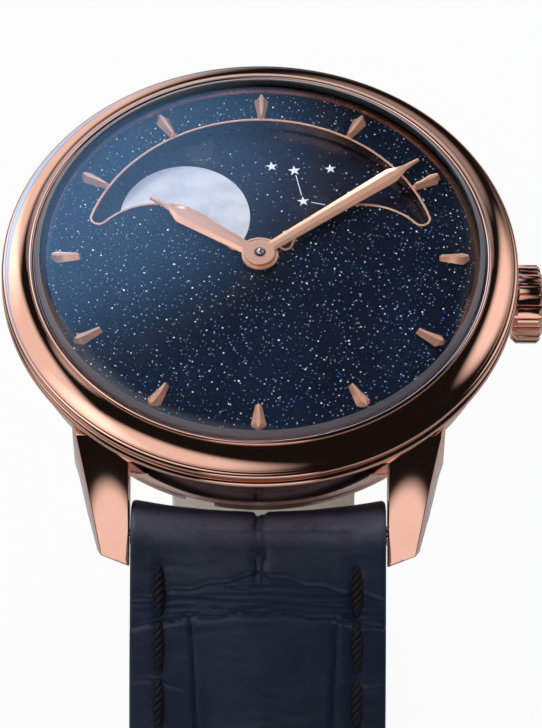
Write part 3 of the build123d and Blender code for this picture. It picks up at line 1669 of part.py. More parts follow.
def strap_end_profile():
    """Half the section at the spring bar, which turns about it to round the strap's end."""
    half = strap_width / 2
    edge = strap_thickness(0)
    with BuildSketch(Plane.XY) as profile:
        with BuildLine():
            Polyline((half, edge), (half, 0), (-half, 0), (-half, edge))
            Bezier((-half, edge), (0, edge + 2 * strap_crown_at(0)), (half, edge))
        make_face()
    return profile.sketch


def strap_body(turn, line, length):
    """A strap half, lofted along its curve and turned round the spring bar at its end."""
    with BuildPart() as body:
        stations = round(length / strap_station_pitch)
        for station in range(stations + 1):
            reach = length * (station / stations) ** strap_station_lean
            add(strap_section(station_plane(line, reach, turn), reach, length))
        loft(ruled=True)
        start = station_plane(line, 0, turn)
        end_profile = start * strap_end_profile()
        revolve(end_profile, axis=Axis(start.origin, -start.x_dir), revolution_arc=180)
        with BuildSketch(Plane.YZ.offset(-strap_width)):
            with Locations((start.origin.Y, start.origin.Z)):
                Circle(bar_radius + loose_fit)
        extrude(amount=2 * strap_width, mode=Mode.SUBTRACT)
    return body.part


# Long half, with its row of holes and its rounded tip
strap_holes = 7
strap_hole_radius = 0.9
strap_hole_first = 24.0
strap_hole_pitch = 6.0
tip_length = 9.0
strap_tip_ease = 0.4
long_line = strap_line(1, long_heading, long_legs, 0)
long_outside = outer_side(1, long_heading, long_legs)
long_body = strap_body(1, long_line, long_length)
tip_y = station_plane(long_line, long_length, 1).origin.Y - shaft_fit
tip_shoulder_y = tip_y - tip_length

with BuildPart() as long_cuts:
    for hole in range(strap_holes):
        across = station_plane(long_line, long_length - strap_hole_first - hole * strap_hole_pitch, 1)
        with BuildSketch(Plane(origin=across.origin, x_dir=across.x_dir, z_dir=across.y_dir)):
            Circle(strap_hole_radius)
        extrude(amount=strap_root_thickness, both=True)
    with BuildSketch(Plane.XY.offset(floor_z - overrun)):
        with Locations((0, tip_shoulder_y)):
            Rectangle(2 * strap_width, tip_length + overrun, align=(Align.CENTER, Align.MIN))
            Ellipse(strap_tail_width / 2 + strap_tip_ease, tip_length, mode=Mode.SUBTRACT)
    extrude(amount=strap_tail_thickness + strap_lining + 2 * overrun)

with BuildPart() as long_outer_block:
    extrude(long_outside, amount=2 * strap_width)

with BuildPart() as strap_long_top:
    add(long_body)
    add(long_outer_block.part, mode=Mode.INTERSECT)
    add(long_cuts.part, mode=Mode.SUBTRACT)
strap_long_top.part.label = "strap_long_top"
export_step(strap_long_top.part, "parts/strap_long_top.step")

with BuildPart() as strap_long_lining:
    add(long_body)
    add(long_outer_block.part, mode=Mode.SUBTRACT)
    add(long_cuts.part, mode=Mode.SUBTRACT)
strap_long_lining.part.label = "strap_long_lining"
export_step(strap_long_lining.part, "parts/strap_long_lining.step")

# Short half, slotted at its end for the tongue and bored for the buckle's bar
buckle_bar_inset = 1.3
buckle_bar_radius = 0.6
tongue_slot_width = 2.4
tongue_slot_length = 4.2
short_line = strap_line(-1, short_heading, short_legs, 0)
short_outside = outer_side(-1, short_heading, short_legs)
short_body = strap_body(-1, short_line, short_length)
short_end_y = station_plane(short_line, short_length, -1).origin.Y
buckle_bar_y = short_end_y + buckle_bar_inset

with BuildPart() as short_cuts:
    with BuildSketch(Plane.YZ.offset(-strap_width)):
        with Locations((buckle_bar_y, short_end_z)):
            Circle(buckle_bar_radius + shaft_fit)
    extrude(amount=2 * strap_width)
    with BuildSketch(Plane.XY.offset(short_end_z - strap_root_thickness)):
        with Locations((0, short_end_y)):
            Rectangle(tongue_slot_width, 2 * tongue_slot_length)
    extrude(amount=2 * strap_root_thickness)

with BuildPart() as short_outer_block:
    extrude(short_outside, amount=2 * strap_width)

with BuildPart() as strap_short_top:
    add(short_body)
    add(short_outer_block.part, mode=Mode.INTERSECT)
    add(short_cuts.part, mode=Mode.SUBTRACT)
strap_short_top.part.label = "strap_short_top"
export_step(strap_short_top.part, "parts/strap_short_top.step")

with BuildPart() as strap_short_lining:
    add(short_body)
    add(short_outer_block.part, mode=Mode.SUBTRACT)
    add(short_cuts.part, mode=Mode.SUBTRACT)
strap_short_lining.part.label = "strap_short_lining"
export_step(strap_short_lining.part, "parts/strap_short_lining.step")

# Spring bars between the lugs
with BuildPart() as spring_bars:
    for side in (-1, 1):
        with BuildSketch(Plane.YZ.offset(-bar_length / 2)):
            with Locations((side * strap_bar_y, strap_bar_z)):
                Circle(bar_radius)
        extrude(amount=bar_length)
        with BuildSketch(Plane.YZ.offset(-bar_length / 2 - bar_hole_depth)):
            with Locations((side * strap_bar_y, strap_bar_z)):
                Circle(bar_pivot_radius)
        extrude(amount=bar_length + 2 * bar_hole_depth)
spring_bars.part.label = "spring_bars"
export_step(spring_bars.part, "parts/spring_bars.step")

# Keepers: the fixed one sits by the buckle and is the watch's second foot, the loose one
# slides on the straight run above it
keeper_corner = 0.7
keeper_clearance = 0.12
fixed_keeper_reach = 68.3
loose_keeper_reach = 38.0
loose_keeper_inset = 0.1
loose_keeper_half = strap_width / 2 - loose_keeper_inset
loose_keeper_room = 3.8


def keeper_section(plane, inner_half, low, high):
    """A keeper's loop round the strap; low and high are its inside, outwards positive."""
    with BuildSketch(plane) as section:
        with Locations((0, (low + high) / 2)):
            RectangleRounded(
                2 * (inner_half + keeper_wall), high - low + 2 * keeper_wall, keeper_corner
            )
            Rectangle(2 * inner_half, high - low, mode=Mode.SUBTRACT)
    return section.sketch


with BuildPart() as fixed_keeper:
    fixed_half = strap_half_width(fixed_keeper_reach - keeper_width / 2, short_length)
    fixed_loop = keeper_section(
        station_plane(short_line, fixed_keeper_reach, -1),
        fixed_half + keeper_clearance,
        -strap_lining,
        strap_tail_thickness + tail_room,
    )
    extrude(fixed_loop, amount=keeper_width / 2, both=True)
    add(short_body, mode=Mode.SUBTRACT)
fixed_keeper.part.label = "fixed_keeper"
export_step(fixed_keeper.part, "parts/fixed_keeper.step")

with BuildPart() as loose_keeper:
    loose_loop = keeper_section(
        station_plane(short_line, loose_keeper_reach, -1),
        loose_keeper_half,
        -strap_lining - loose_fit,
        loose_keeper_room,
    )
    extrude(loose_loop, amount=keeper_width / 2, both=True)
loose_keeper.part.label = "loose_keeper"
export_step(loose_keeper.part, "parts/loose_keeper.step")

# Pin buckle: a U frame on its bar, and the tongue that rests across it
buckle_side_play = 0.2
buckle_inner_half = strap_tail_width / 2 + buckle_side_play
buckle_side = 1.25
buckle_half = strap_width / 2 + buckle_side
buckle_reach = 10.5
buckle_front_width = 2.2
buckle_thickness = 2.0
buckle_corner = 3.0
buckle_edge_break = 0.4
buckle_eye_wall = 0.9
buckle_low = short_end_z - buckle_thickness / 2
buckle_front_y = buckle_bar_y - buckle_reach

with BuildPart() as buckle:
    with BuildSketch(Plane.XY.offset(buckle_low)):
        with Locations((0, buckle_front_y)):
            Rectangle(2 * buckle_half, buckle_reach, align=(Align.CENTER, Align.MIN))
    extrude(amount=buckle_thickness)
    fillet(buckle.faces().sort_by(Axis.Y)[0].edges().filter_by(Axis.Z), buckle_corner)
    with BuildSketch(Plane.YZ.offset(-buckle_half)):
        with Locations((buckle_bar_y, short_end_z)):
            Circle(buckle_thickness / 2)
    extrude(amount=2 * buckle_half)
    chamfer(buckle.faces().sort_by(Axis.Z)[0].edges(), buckle_edge_break)
    with BuildSketch(Plane.XY.offset(buckle_low)):
        with Locations((0, buckle_front_y + buckle_front_width)):
            Rectangle(
                2 * buckle_inner_half, 2 * buckle_reach, align=(Align.CENTER, Align.MIN)
            )
    extrude(amount=buckle_thickness, mode=Mode.SUBTRACT)
    with BuildSketch(Plane.YZ.offset(-buckle_half + buckle_eye_wall)):
        with Locations((buckle_bar_y, short_end_z)):
            Circle(buckle_bar_radius + shaft_fit)
    extrude(amount=2 * (buckle_half - buckle_eye_wall), mode=Mode.SUBTRACT)
buckle.part.label = "buckle"
export_step(buckle.part, "parts/buckle.step")

with BuildPart() as buckle_bar:
    with BuildSketch(Plane.YZ.offset(-buckle_half + buckle_eye_wall)):
        with Locations((buckle_bar_y, short_end_z)):
            Circle(buckle_bar_radius)
    extrude(amount=2 * (buckle_half - buckle_eye_wall))
buckle_bar.part.label = "buckle_bar"
export_step(buckle_bar.part, "parts/buckle_bar.step")

tongue_width = 1.9
tongue_thickness = 0.9
tongue_top = short_end_z - buckle_thickness / 2 - shaft_fit
tongue_tip_y = buckle_front_y - shaft_fit
tongue_ring_radius = 1.2
tongue_tip_thickness = 0.5

with BuildPart() as tongue:
    with BuildSketch(Plane.YZ.offset(-tongue_width / 2)):
        with BuildLine():
            Polyline(
                (buckle_bar_y, short_end_z - buckle_bar_radius - shaft_fit),
                (buckle_front_y + buckle_front_width + tongue_width, tongue_top),
                (tongue_tip_y, tongue_top),
                (tongue_tip_y, tongue_top - tongue_tip_thickness),
                (tongue_tip_y + tongue_width, tongue_top - tongue_thickness),
                (buckle_bar_y, short_end_z - tongue_ring_radius),
                (buckle_bar_y, short_end_z - buckle_bar_radius - shaft_fit),
            )
        make_face()
        with Locations((buckle_bar_y, short_end_z)):
            Circle(tongue_ring_radius)
            Circle(buckle_bar_radius + shaft_fit, mode=Mode.SUBTRACT)
    extrude(amount=tongue_width)
tongue.part.label = "tongue"
export_step(tongue.part, "parts/tongue.step")
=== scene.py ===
"""Moon phase watch: polished gold, aventurine dial, leather, stitches, lights and camera
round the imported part. Sizes are in millimetres until a mesh is stored in metres."""
import json
from math import atan2, cos, hypot, pi, radians, sin, sqrt

import bmesh
import bpy
import numpy as np
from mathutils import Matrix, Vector


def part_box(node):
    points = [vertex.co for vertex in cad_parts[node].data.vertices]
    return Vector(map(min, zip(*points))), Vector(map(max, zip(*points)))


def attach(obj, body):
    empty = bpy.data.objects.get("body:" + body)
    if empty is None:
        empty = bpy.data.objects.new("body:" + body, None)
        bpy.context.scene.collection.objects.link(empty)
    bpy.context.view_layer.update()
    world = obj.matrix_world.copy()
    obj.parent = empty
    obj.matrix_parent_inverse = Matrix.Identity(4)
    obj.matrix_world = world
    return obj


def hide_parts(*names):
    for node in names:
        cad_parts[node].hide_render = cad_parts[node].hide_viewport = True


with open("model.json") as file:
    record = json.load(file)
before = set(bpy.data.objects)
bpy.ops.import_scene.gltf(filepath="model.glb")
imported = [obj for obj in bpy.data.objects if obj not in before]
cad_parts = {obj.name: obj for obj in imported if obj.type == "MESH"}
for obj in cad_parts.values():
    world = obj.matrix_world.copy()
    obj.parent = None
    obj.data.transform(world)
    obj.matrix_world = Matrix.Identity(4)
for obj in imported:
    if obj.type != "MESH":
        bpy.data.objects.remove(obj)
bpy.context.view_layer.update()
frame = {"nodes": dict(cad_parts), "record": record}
MM = 0.001
rng = np.random.default_rng(11)


# Finishes

def srgb(red, green, blue):
    """A colour in 0 to 255 as the eye reads it, turned to the linear values that shaders take."""
    def linear(c):
        c = c / 255
        return c / 12.92 if c <= 0.04045 else ((c + 0.055) / 1.055) ** 2.4
    return (linear(red), linear(green), linear(blue), 1.0)


class Signal:
    """A shader socket that Python expressions combine; each step adds its Math node."""

    def __init__(self, finish, socket):
        self.finish = finish
        self.socket = socket

    def math(self, operation, *values):
        """The result of a Math node on the given values."""
        node = self.finish.node("ShaderNodeMath", {"operation": operation})
        for slot, value in zip(node.inputs, values):
            self.finish.feed(slot, value)
        return Signal(self.finish, node.outputs[0])

    def __add__(self, other):
        return self.math("ADD", self, other)

    def __sub__(self, other):
        return self.math("SUBTRACT", self, other)

    def __rsub__(self, other):
        return self.math("SUBTRACT", other, self)

    def __mul__(self, other):
        return self.math("MULTIPLY", self, other)

    __radd__ = __add__

    def above(self, limit):
        return self.math("GREATER_THAN", self, limit)

    def larger(self, other):
        return self.math("MAXIMUM", self, other)

    def absolute(self):
        return self.math("ABSOLUTE", self)

    def wave(self):
        return self.math("SINE", self)

    def rise(self, low, high):
        """0 under low, 1 over high and a smooth step between."""
        node = self.finish.node(
            "ShaderNodeMapRange", {"interpolation_type": "SMOOTHSTEP"}, Value=self
        )
        node.inputs["From Min"].default_value = low
        node.inputs["From Max"].default_value = high
        return Signal(self.finish, node.outputs[0])


class Finish:
    """A material, or the world, built from nodes."""

    def __init__(self, name, **looks):
        if name == "studio":
            owner = bpy.data.worlds.new(name)
        else:
            owner = bpy.data.materials.new(name)
        owner.use_nodes = True
        self.owner = owner
        self.tree = owner.node_tree
        self.tree.nodes.clear()
        if name != "studio":
            self.output = self.node("ShaderNodeOutputMaterial")
            self.shader = self.node("ShaderNodeBsdfPrincipled")
            self.join(self.shader.outputs[0], self.output.inputs["Surface"])
            for key, value in looks.items():
                self.look(key.replace("_", " "), value)

    def node(self, kind, settings=None, **values):
        """Adds a node, sets it up, then fills its sockets with numbers, colours or signals."""
        node = self.tree.nodes.new(kind)
        for key, value in (settings or {}).items():
            setattr(node, key, value)
        for key, value in values.items():
            self.feed(node.inputs[key.replace("_", " ")], value)
        return node

    def join(self, source, target):
        self.tree.links.new(source, target)

    def feed(self, socket, value):
        if isinstance(value, Signal):
            self.join(value.socket, socket)
        else:
            socket.default_value = value

    def look(self, name, value):
        """Sets an input of the Principled shader."""
        self.feed(self.shader.inputs[name], value)

    def out(self, node, name=0):
        return Signal(self, node.outputs[name])

    def spot(self, turn=(0, 0, 0), stretch=(1, 1, 1), move=(0, 0, 0)):
        """The point on the piece, in metres, moved, turned and stretched."""
        place = self.out(self.node("ShaderNodeTexCoord"), "Object")
        mapping = self.node("ShaderNodeMapping", Vector=place)
        mapping.inputs["Location"].default_value = move
        mapping.inputs["Rotation"].default_value = turn
        mapping.inputs["Scale"].default_value = stretch
        return self.out(mapping)

    def axes(self, vector):
        node = self.node("ShaderNodeSeparateXYZ", Vector=vector)
        return [Signal(self, node.outputs[i]) for i in range(3)]

    def noise(self, vector, scale, detail, roughness=0.5):
        return self.out(self.node(
            "ShaderNodeTexNoise", Vector=vector, Scale=scale, Detail=detail, Roughness=roughness
        ))

    def cells(self, vector, scale, output="Distance", span="3D"):
        return self.out(self.node(
            "ShaderNodeTexVoronoi", {"voronoi_dimensions": span}, Vector=vector, Scale=scale
        ), output)

    def mix(self, share, low, high):
        """A colour between two, by a share from 0 to 1."""
        node = self.node("ShaderNodeMix", {"data_type": "RGBA"})
        for slot, value in ((0, share), (6, low), (7, high)):
            self.feed(node.inputs[slot], value)
        return Signal(self, node.outputs[2])

    def grain(self, height, distance, strength):
        """Fine relief from a height signal; distance is its depth in metres."""
        bump = self.node("ShaderNodeBump", Height=height)
        bump.inputs["Strength"].default_value = strength
        bump.inputs["Distance"].default_value = distance
        self.look("Normal", self.out(bump))

    def blend(self, share, second):
        """Mixes a second shader into the surface by a share from 0 to 1."""
        mixed = self.node("ShaderNodeMixShader")
        self.feed(mixed.inputs[0], share)
        self.join(self.shader.outputs[0], mixed.inputs[1])
        self.join(second.outputs[0], mixed.inputs[2])
        self.join(mixed.outputs[0], self.output.inputs["Surface"])


def polished(name, colour, shade, roughness):
    """Polished metal with a faint change of tone and fine handling marks."""
    metal = Finish(name, Metallic=1.0)
    tone = metal.noise(metal.spot(), 260.0, 2.0)
    metal.look("Base Color", metal.mix(tone.rise(0.3, 0.7), srgb(*colour), srgb(*shade)))
    marks = metal.noise(metal.spot(stretch=(1.0, 7.0, 3.0)), 900.0, 4.0)
    metal.look("Roughness", marks * 0.05 + (roughness - 0.025))
    metal.grain(metal.noise(metal.spot(), 1500.0, 2.0), 0.0000012, 0.35)
    return metal


def brushed(name, colour, shade, roughness, stretch=(1.0, 40.0, 1.0)):
    """Metal with a straight fine brush."""
    metal = Finish(name, Metallic=1.0)
    lines = metal.noise(metal.spot(stretch=stretch), 420.0, 4.0)
    metal.look("Base Color", metal.mix(lines.rise(0.35, 0.65), srgb(*colour), srgb(*shade)))
    metal.look("Roughness", lines * 0.16 + (roughness - 0.08))
    metal.grain(lines, 0.000006, 0.5)
    return metal


def satin(name, colour, shade, metallic=0.6, roughness=0.17):
    """Fine satin gold of the hands, markers and flange, bright from every side."""
    metal = Finish(name, Metallic=metallic)
    lines = metal.noise(metal.spot(stretch=(1.0, 6.0, 1.0)), 1400.0, 2.0)
    metal.look("Base Color", metal.mix(lines, srgb(*colour), srgb(*shade)))
    metal.look("Roughness", lines * 0.02 + roughness)
    return metal


def striped_plate():
    """Rhodium plate with broad waved stripes and a fine grain across them."""
    metal = Finish("striped_bridge", Metallic=1.0)
    slant = (0, 0, radians(35))
    stripe_pitch = 2.6 * MM
    across = metal.axes(metal.spot(turn=slant))[0]
    stripe = (across * (2 * pi / stripe_pitch)).wave()
    metal.look("Base Color", metal.mix(
        stripe.rise(-1.0, 1.0), srgb(196, 198, 202), srgb(226, 227, 230)
    ))
    fine = metal.noise(metal.spot(turn=slant, stretch=(1, 30, 1)), 700.0, 3.0)
    metal.look("Roughness", stripe * 0.07 + fine * 0.08 + 0.2)
    metal.grain(stripe + fine * 0.25, 0.00002, 0.6)
    return metal


def pearled_plate():
    """Rhodium main plate with small overlapping round graining."""
    metal = Finish("pearled_plate", Metallic=1.0)
    swirl = metal.cells(metal.spot(), 1150.0)
    rings = (swirl * 40.0).wave()
    metal.look("Base Color", metal.mix(
        swirl.rise(0.0, 0.7), srgb(222, 222, 224), srgb(176, 177, 181)
    ))
    metal.look("Roughness", rings * 0.05 + 0.24)
    metal.grain(swirl, 0.00001, 0.4)
    return metal


def flakes(glass, colour, layers):
    """Painted glints over a colour: dots of each tint in the base colour that also glow by
    emission; each layer has a cell scale, a reach, a share and a tint.
    """
    glint_glow = (0.0, 0.0, 0.0, 1.0)
    for scale, reach, share, tint in layers:
        place = glass.spot(turn=(0, 0, scale), move=(scale * 1e-5, 0, 0))
        near = 1 - glass.cells(place, scale, span="2D").rise(reach * 0.6, reach)
        lot = glass.axes(glass.cells(place, scale, "Color", "2D"))
        level = near * lot[0].above(1 - share) * (lot[1] * lot[1] * 0.85 + 0.15)
        colour = glass.mix(level, colour, srgb(*tint))
        glint_glow = glass.mix(level, glint_glow, srgb(*tint))
    # Painted glow: the glint dots also shine by emission
    glass.look("Emission Color", glint_glow)
    glass.look("Emission Strength", 0.3)
    return colour


def aventurine():
    """Dark blue glass full of flakes, drawn as painted glints that glow white and blue."""
    glass = Finish("aventurine_glass", Roughness=0.16, Specular_IOR_Level=0.35)
    body = glass.noise(glass.spot(), 170.0, 3.0)
    colour = glass.mix(body.rise(0.3, 0.75), srgb(9, 15, 28), srgb(13, 22, 38))
    glass.look("Base Color", flakes(glass, colour, (
        (2900.0, 0.15, 0.34, (128, 146, 178)),
        (2000.0, 0.115, 0.34, (196, 206, 228)),
        (1300.0, 0.085, 0.32, (244, 247, 252)),
        (1000.0, 0.07, 0.1, (40, 116, 230)),
        (700.0, 0.056, 0.26, (255, 254, 252)),
    )))
    return glass


def pearl():
    """Mother-of-pearl: clouded layers with faint pink and green."""
    shell = Finish("pearl_shell", Roughness=0.3, Coat_Weight=0.5, Coat_Roughness=0.12)
    drift = shell.noise(shell.spot(stretch=(1.0, 1.7, 1.0)), 380.0, 5.0, 0.6)
    cloud = shell.noise(shell.spot(turn=(0, 0, 0.6), stretch=(1.6, 0.8, 1)), 620.0, 6.0, 0.62)
    base = shell.mix(drift.rise(0.34, 0.64), srgb(184, 187, 194), srgb(207, 207, 211))
    base = shell.mix(cloud.rise(0.5, 0.72) * 0.4, base, srgb(219, 217, 218))
    tint = shell.noise(shell.spot(move=(0.003, 0, 0)), 300.0, 2.0)
    base = shell.mix(tint.rise(0.52, 0.75) * 0.2, base, srgb(222, 206, 208))
    base = shell.mix((1 - tint).rise(0.55, 0.78) * 0.2, base, srgb(196, 214, 210))
    shell.look("Base Color", base)
    shell.grain(drift + cloud * 0.5, 0.00001, 0.3)
    return shell


def night_lacquer():
    """The moon disc: deep violet blue with small flakes drawn as painted glints."""
    coat = Finish("night_lacquer", Roughness=0.24, Specular_IOR_Level=0.35)
    cloud = coat.noise(coat.spot(), 210.0, 3.0)
    colour = coat.mix(cloud.rise(0.35, 0.7), srgb(17, 17, 31), srgb(24, 22, 38))
    coat.look("Base Color", flakes(coat, colour, (
        (2100.0, 0.15, 0.25, (120, 128, 170)), (1200.0, 0.09, 0.3, (214, 218, 240)),
    )))
    return coat


def sapphire():
    """Clear crystal: its gloss comes from the coat, and shadow rays pass through it."""
    clear = Finish(
        "clear_sapphire", Roughness=0.0, IOR=1.08, Transmission_Weight=1.0,
        Coat_Weight=0.55, Coat_IOR=1.77, Coat_Roughness=0.0,
    )
    haze = clear.noise(clear.spot(), 120.0, 2.0)
    clear.look("Base Color", clear.mix(haze, (0.985, 0.99, 1.0, 1), (0.97, 0.98, 1.0, 1)))
    shadow_ray = clear.out(clear.node("ShaderNodeLightPath"), "Is Shadow Ray")
    clear.blend(shadow_ray, clear.node("ShaderNodeBsdfTransparent"))
    return clear


def ground_edge():
    """The crystal's ground bevel, a smoky frosted ring."""
    frosted = Finish(
        "ground_sapphire", Roughness=0.3, IOR=1.3, Transmission_Weight=0.35, Coat_Weight=0.3,
    )
    haze = frosted.noise(frosted.spot(), 500.0, 3.0)
    frosted.look("Base Color", frosted.mix(haze, srgb(140, 133, 141), srgb(160, 153, 160)))
    return frosted


def leather(name, colour, high, roughness, pore=1400.0):
    """Glazed leather: fine pores and creases, a little lighter where it is worn smooth."""
    hide = Finish(name, Coat_Weight=0.1, Coat_Roughness=0.34, Specular_IOR_Level=0.3)
    mottle = hide.noise(hide.spot(), 240.0, 5.0, 0.6)
    fibre = hide.noise(hide.spot(), pore * 2.2, 4.0, 0.65)
    base = hide.mix(mottle.rise(0.32, 0.7), srgb(*colour), srgb(*high))
    hide.look("Roughness", fibre * 0.22 + (roughness - 0.11))
    pores = hide.cells(hide.spot(), pore)
    hide.grain(fibre * 0.7 + pores.rise(0.05, 0.5) * 0.5, 0.000028, 0.45)
    return hide, base


def alligator():
    """Dark navy alligator: bluer where the mesh says that the skin sinks, with a painted
    highlight, a paler band where the padding bends over the spring bar."""
    hide, base = leather("navy_alligator", (36, 45, 64), (47, 57, 77), 0.42)
    depth = hide.out(hide.node("ShaderNodeAttribute", {"attribute_name": "sunk"}), "Fac")
    base = hide.mix(depth.rise(0.25, 0.9) * 0.8, base, srgb(22, 40, 66))
    _, along, height = hide.axes(hide.spot())
    far = along.absolute()
    # Painted highlight: a paler band across the strap where the padding bends over the spring
    # bar, broken up by noise
    painted_highlight = far.rise(0.0174, 0.0186) * (1 - far.rise(0.019, 0.0208)) * height.above(-0.002)
    highlight_grain = hide.noise(hide.spot(), 330.0, 4.0, 0.6)
    base = hide.mix(painted_highlight * highlight_grain.rise(0.2, 0.55) * 0.85, base, srgb(112, 115, 136))
    hide.look("Base Color", base)
    return hide


def plain_hide(name, colour, high, roughness):
    """Smooth leather of one colour."""
    hide, base = leather(name, colour, high, roughness, 1900.0)
    hide.look("Base Color", base)
    return hide


def thread():
    """Dark waxed sewing thread."""
    yarn = Finish("waxed_thread", Roughness=0.62)
    twist = yarn.noise(yarn.spot(stretch=(1, 3, 3)), 2600.0, 3.0)
    yarn.look("Base Color", yarn.mix(twist.rise(0.35, 0.7), srgb(9, 9, 15), srgb(24, 24, 36)))
    yarn.grain(twist, 0.00002, 0.7)
    return yarn


def plain(name, colour, high, roughness):
    """A quiet finish with a fine change of tone, for rubber and print."""
    quiet = Finish(name)
    tone = quiet.noise(quiet.spot(), 900.0, 3.0)
    quiet.look("Base Color", quiet.mix(tone, srgb(*colour), srgb(*high)))
    quiet.look("Roughness", tone * 0.1 + (roughness - 0.05))
    return quiet


def ruby():
    """The red of the movement's jewels."""
    stone = Finish(
        "ruby", Roughness=0.08, IOR=1.77, Transmission_Weight=0.35, Coat_Weight=0.3,
    )
    tone = stone.noise(stone.spot(), 1500.0, 2.0)
    stone.look("Base Color", stone.mix(tone, srgb(150, 8, 46), srgb(196, 22, 72)))
    return stone


rose_tones = (240, 188, 168), (236, 182, 161)


def hollow_gold():
    """Polished gold that scatters more between the lugs, where only the strap is mirrored."""
    metal = polished("rose_gold_band", *rose_tones, 0.06)
    across, along, height = metal.axes(metal.spot())
    hollow = (
        (1 - across.absolute().rise(0.0087, 0.0092)) * along.absolute().rise(0.0132, 0.0146)
        * (1 - height.rise(0.0026, 0.0034))
    )
    metal.look("Metallic", 1 - hollow * 0.6)
    metal.look("Roughness", hollow * 0.2 + 0.06)
    return metal


finishes = {
    "rose_gold": polished("rose_gold", *rose_tones, 0.06),
    "sapphire": sapphire(),
    "black_rubber": plain("black_rubber", (22, 22, 24), (34, 34, 36), 0.7),
    "flange": satin("flange_gold", (190, 128, 106), (186, 124, 102), 0.85, 0.14),
    "dial_metal": brushed("dial_metal", (150, 152, 158), (176, 178, 184), 0.34),
    "aventurine": aventurine(),
    "marker_gold": satin("marker_gold", (252, 192, 158), (250, 189, 155)),
    "moon_disc": night_lacquer(),
    "mother_of_pearl": pearl(),
    "steel": polished("steel", (206, 208, 212), (192, 194, 199), 0.16),
    "bridge_steel": striped_plate(),
    "gilt": brushed("gilt", (224, 176, 126), (212, 160, 108), 0.26, stretch=(1, 1, 40)),
    "blue_steel": polished("blue_steel", (38, 66, 150), (30, 52, 128), 0.14),
    "ruby": ruby(),
    "strap_leather": alligator(),
    "lining_leather": plain_hide("lining_leather", (236, 229, 216), (246, 241, 232), 0.62),
}
pearled = pearled_plate()
banded = hollow_gold()
stitch_thread = thread()
star_white = plain("star_white", (226, 230, 240), (240, 242, 248), 0.5)


# Meshes

def present(name, data):
    """Adds an object with this data to the scene."""
    thing = bpy.data.objects.new(name, data)
    bpy.context.scene.collection.objects.link(thing)
    return thing


def store(name, points, faces, finish, smooth):
    """Makes a piece from points in mm, with its faces outwards and its hard edges sharp."""
    mesh = bpy.data.meshes.new(name)
    mesh.from_pydata([tuple(p) for p in np.asarray(points) * MM], [], faces)
    shell = bmesh.new()
    shell.from_mesh(mesh)
    bmesh.ops.recalc_face_normals(shell, faces=shell.faces)
    shell.to_mesh(mesh)
    shell.free()
    mesh.shade_smooth()
    if smooth < 180:
        mesh.set_sharp_from_angle(angle=radians(smooth))
    mesh.materials.append(finish.owner)
    return present(name, mesh)


def settle(piece, body, slot, *nodes):
    """Puts a piece on its body and hides the CAD nodes it stands for; the slot is not used."""
    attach(piece, body)
    if nodes:
        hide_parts(*nodes)


def circle_through(a, b, c, count):
    """Points on the arc from a through b to c."""
    (ax, ay), (bx, by), (cx, cy) = a, b, c
    twice = 2 * (ax * (by - cy) + bx * (cy - ay) + cx * (ay - by))
    aa, bb, cc = ax * ax + ay * ay, bx * bx + by * by, cx * cx + cy * cy
    ux = (aa * (by - cy) + bb * (cy - ay) + cc * (ay - by)) / twice
    uy = (aa * (cx - bx) + bb * (ax - cx) + cc * (bx - ax)) / twice
    radius = hypot(ax - ux, ay - uy)
    first, middle, last = (atan2(q - uy, p - ux) for p, q in (a, b, c))
    while middle < first:
        middle += 2 * pi
    while last < first:
        last += 2 * pi
    if middle > last:
        last -= 2 * pi
    return [
        (ux + radius * cos(t), uy + radius * sin(t)) for t in np.linspace(first, last, count)
    ]


def band(here, there):
    """The faces between two rings of points."""
    count = len(here)
    return [
        [here[k], here[(k + 1) % count], there[(k + 1) % count], there[k]] for k in range(count)
    ]


def lathe(profile, turns):
    """Points and faces of a closed profile of (radius, height) turned round the hands' axis."""
    points, rows = [], []
    angles = np.arange(turns) * 2 * pi / turns
    for radius, height in profile:
        if radius < 1e-6:
            points.append((0, 0, height))
            rows.append([len(points) - 1] * turns)
        else:
            first = len(points)
            points.extend((radius * cos(t), radius * sin(t), height) for t in angles)
            rows.append(list(range(first, first + turns)))
    faces = []
    for here, there in zip(rows, rows[1:] + rows[:1]):
        corners = [list(dict.fromkeys(face)) for face in band(here, there)]
        faces.extend(face for face in corners if len(face) > 2)
    return points, faces


def dress(node, finish, bevel, rounds=2, sharp=38.0):
    """A welded copy of a CAD node with softened edges, which stands for the node."""
    source = frame["nodes"][node]
    shell = bmesh.new()
    shell.from_mesh(source.data)
    bmesh.ops.scale(shell, vec=(1 / MM,) * 3, verts=shell.verts)
    bmesh.ops.remove_doubles(shell, verts=shell.verts, dist=0.0015)
    bmesh.ops.dissolve_limit(
        shell, angle_limit=radians(0.6), verts=shell.verts, edges=shell.edges
    )
    if bevel:
        edges = [
            e for e in shell.edges
            if len(e.link_faces) == 2 and e.calc_face_angle(0) > radians(sharp) and e.is_convex
        ]
        bmesh.ops.bevel(
            shell, geom=edges, offset=bevel, offset_type="OFFSET", segments=rounds,
            profile=0.5, affect="EDGES", clamp_overlap=True,
        )
    bmesh.ops.scale(shell, vec=(MM,) * 3, verts=shell.verts)
    mesh = bpy.data.meshes.new(node + "_finished")
    shell.to_mesh(mesh)
    shell.free()
    mesh.shade_smooth()
    mesh.set_sharp_from_angle(angle=radians(sharp))
    mesh.materials.clear()
    mesh.materials.append(finish.owner)
    piece = present(mesh.name, mesh)
    if bevel:
        even = piece.modifiers.new("even_normals", "WEIGHTED_NORMAL")
        even.keep_sharp = True
        piece = flatten(piece)
    return piece


def flatten(piece):
    """Turns a piece with modifiers into a plain mesh of the same name."""
    graph = bpy.context.evaluated_depsgraph_get()
    final = bpy.data.meshes.new_from_object(piece.evaluated_get(graph))
    piece.modifiers.clear()
    old = piece.data
    piece.data = final
    bpy.data.meshes.remove(old)
    final.name = piece.name
    return piece


